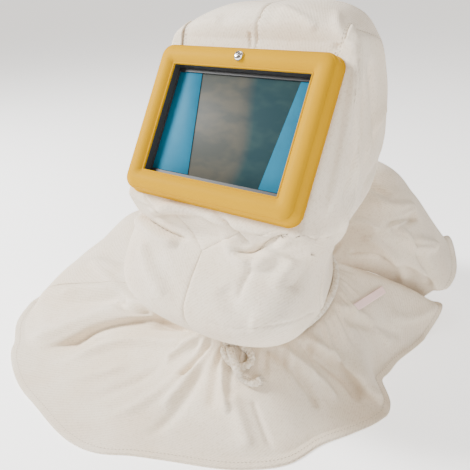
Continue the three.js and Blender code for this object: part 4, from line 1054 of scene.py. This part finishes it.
def window_slab(name, corners, front, depth, material):
    """A flat slab with its edges a little rounded, from corners in the window's plane."""
    corners = np.array(corners, float)
    middle = corners.mean(0)
    loops = []
    for inset, n in ((0.5, front), (0.12, front - 0.12), (0, front - 0.3), (0, front - depth + 0.1),
                     (0.2, front - depth)):
        pulled = corners + unit(middle - corners) * inset
        loops.append(window_place(pulled[:, 0], pulled[:, 1], n))
    return sharp_above(capped(name, loops, material), 60)


w, h = WINDOW_W / 2 + 1.4, WINDOW_H / 2 + 1.4
pane_front = back - CLEAR
pane = window_slab("pane_glass", [(w, h), (-w, h), (-w, -h), (w, -h)], pane_front, PANE_THICK, PANE)
dress(pane, "glass", "window_pane")

edge_w, edge_h = WINDOW_W / 2 - LIP_SIDE - CLEAR, WINDOW_H / 2 - LIP_TOP - CLEAR
film_front = pane_front + CLEAR + FILM_THICK
for end, side, top_w, bottom_w in (("right", -1, 28, 46), ("left", 1, 12, 24)):
    film = window_slab(f"film_{end}_strip", [
        (side * edge_w, edge_h), (side * (edge_w - top_w), edge_h), (side * (edge_w - bottom_w), -edge_h),
        (side * edge_w, -edge_h)], film_front, FILM_THICK, FILM)
    dress(film, "blue_film", f"film_{end}")


# Frame screw: a pan head with a cross recess

def lathe(name, profile, material, place, steps=48):
    """A turned piece about the window's normal; profile is pairs of radius and place along it."""
    turn = np.linspace(0, 2 * np.pi, steps, endpoint=False)
    loops = [window_place(r * np.cos(turn), place + r * np.sin(turn), n) for r, n in profile]
    return capped(name, loops, material)


def cut(piece, cutter):
    tool = piece.modifiers.new("cut", "BOOLEAN")
    tool.operation = "DIFFERENCE"
    tool.object = cutter
    bpy.context.view_layer.objects.active = piece
    bpy.ops.object.modifier_apply(modifier=tool.name)
    bpy.data.objects.remove(cutter, do_unlink=True)


SCREW_UP, SCREW_SEAT, HEAD_H, SLOT_DEPTH = WINDOW_H / 2 + 10, FACE_RISE * 0.8, 3.8, 2.6
base = SCREW_SEAT + CLEAR
head = [(radius, base + HEAD_H * share) for radius, share in (
    (0.02, 1), (1.4, 0.995), (2.6, 0.95), (3.6, 0.85), (4.3, 0.68), (4.75, 0.45), (4.95, 0.22))]
head += [(4.98, base + 0.2), (4.8, base), (2.5, base), (2.5, -FRAME_DEPTH + 2), (0.02, -FRAME_DEPTH + 2)]
screw = lathe("pan_screw", head, CHROME, SCREW_UP)
# The cross recess is cut by two slabs, given by their half lengths and half widths
for long, wide in ((2.75, 0.55), (0.55, 2.75)):
    corners = [(su * long, SCREW_UP + sv * wide) for su, sv in ((1, 1), (-1, 1), (-1, -1), (1, -1))]
    cut(screw, window_slab("slot", corners, base + HEAD_H + 1, SLOT_DEPTH, CHROME))
sharp_above(screw, 35)
dress(screw, "chrome", "frame_screw")


# Bare label tape, folded once and sewn into the side seam

TAG_ROWS = [
    # place of the fold's middle, lean
    (89.2, 34.7, 81.2, 0.45), (92.1, 52.9, 79.8, 0.57), (95.1, 71.2, 78.5, 0.60), (98.5, 89.2, 77.9, 0.66),
    (102.0, 101.0, 79.0, 0.60)]


def make_tag():
    rows = through(np.array(TAG_ROWS), np.linspace(0, 4, 41))
    lean = rows[:, 3]
    out = np.sqrt(1 - lean ** 2)
    across = np.concatenate([np.linspace(-5, 5, 15), np.linspace(5, -4.4, 14)])
    lift = np.concatenate([np.full(15, 0.35), np.full(14, 1.25)]) - 0.5
    lift[13:16] = (-0.02, 0.3, 0.62)
    grid = []
    for (x, y, z, _), le, ou in zip(rows, lean, out):
        up = lift + 0.25 * np.sin(y / 6)
        grid.append(np.stack(
            [x + up * ou - across * le, np.full_like(across, y), z + up * le + across * ou], -1))
    grid = np.array(grid)
    tag = new_mesh("label_tape", grid.reshape(-1, 3), grid_faces(*grid.shape[:2]), TAG, cloth_uv(grid))
    dress(thick(tag, 0.4), "tag_tape", "side_tag")


make_tag()


# Stage

def make_stage():
    mesh = bpy.data.meshes.new("floor")
    mesh.from_pydata([(-60, -60, 0), (60, -60, 0), (60, 60, 0), (-60, 60, 0)], [], [(0, 1, 2, 3)])
    floor = in_scene("floor", mesh)
    material, shader = new_material("floor_white", (0.95, 0.95, 0.95), 0.9)
    shader.inputs["Emission Color"].default_value = (1, 0.99, 0.975, 1)
    shader.inputs["Emission Strength"].default_value = 1.15
    mesh.materials.append(material)
    world = bpy.data.worlds.new("studio")
    world.use_nodes = True
    world.node_tree.nodes["Background"].inputs["Color"].default_value = (1, 0.82, 0.62, 1)
    world.node_tree.nodes["Background"].inputs["Strength"].default_value = 0.26
    bpy.context.scene.world = world
    lamps = [
        # name, place, aimed at, size, watts
        ("key", (-1.5, -1.0, 1.5), (0.1, 0, 0.2), 0.6, 132),
        ("fill", (1.7, -0.9, 1.1), (0.2, 0, 0.15), 1.2, 24),
        ("top", (0.0, 0.5, 2.3), (0.1, 0, 0.1), 1.2, 22),
    ]
    for name, place, aim, size, watts in lamps:
        data = bpy.data.lights.new(name, "AREA")
        data.size = size
        data.energy = watts
        lamp = in_scene(name, data)
        lamp.location = place
        lamp.rotation_euler = (Vector(aim) - Vector(place)).to_track_quat("-Z", "Y").to_euler()


make_stage()
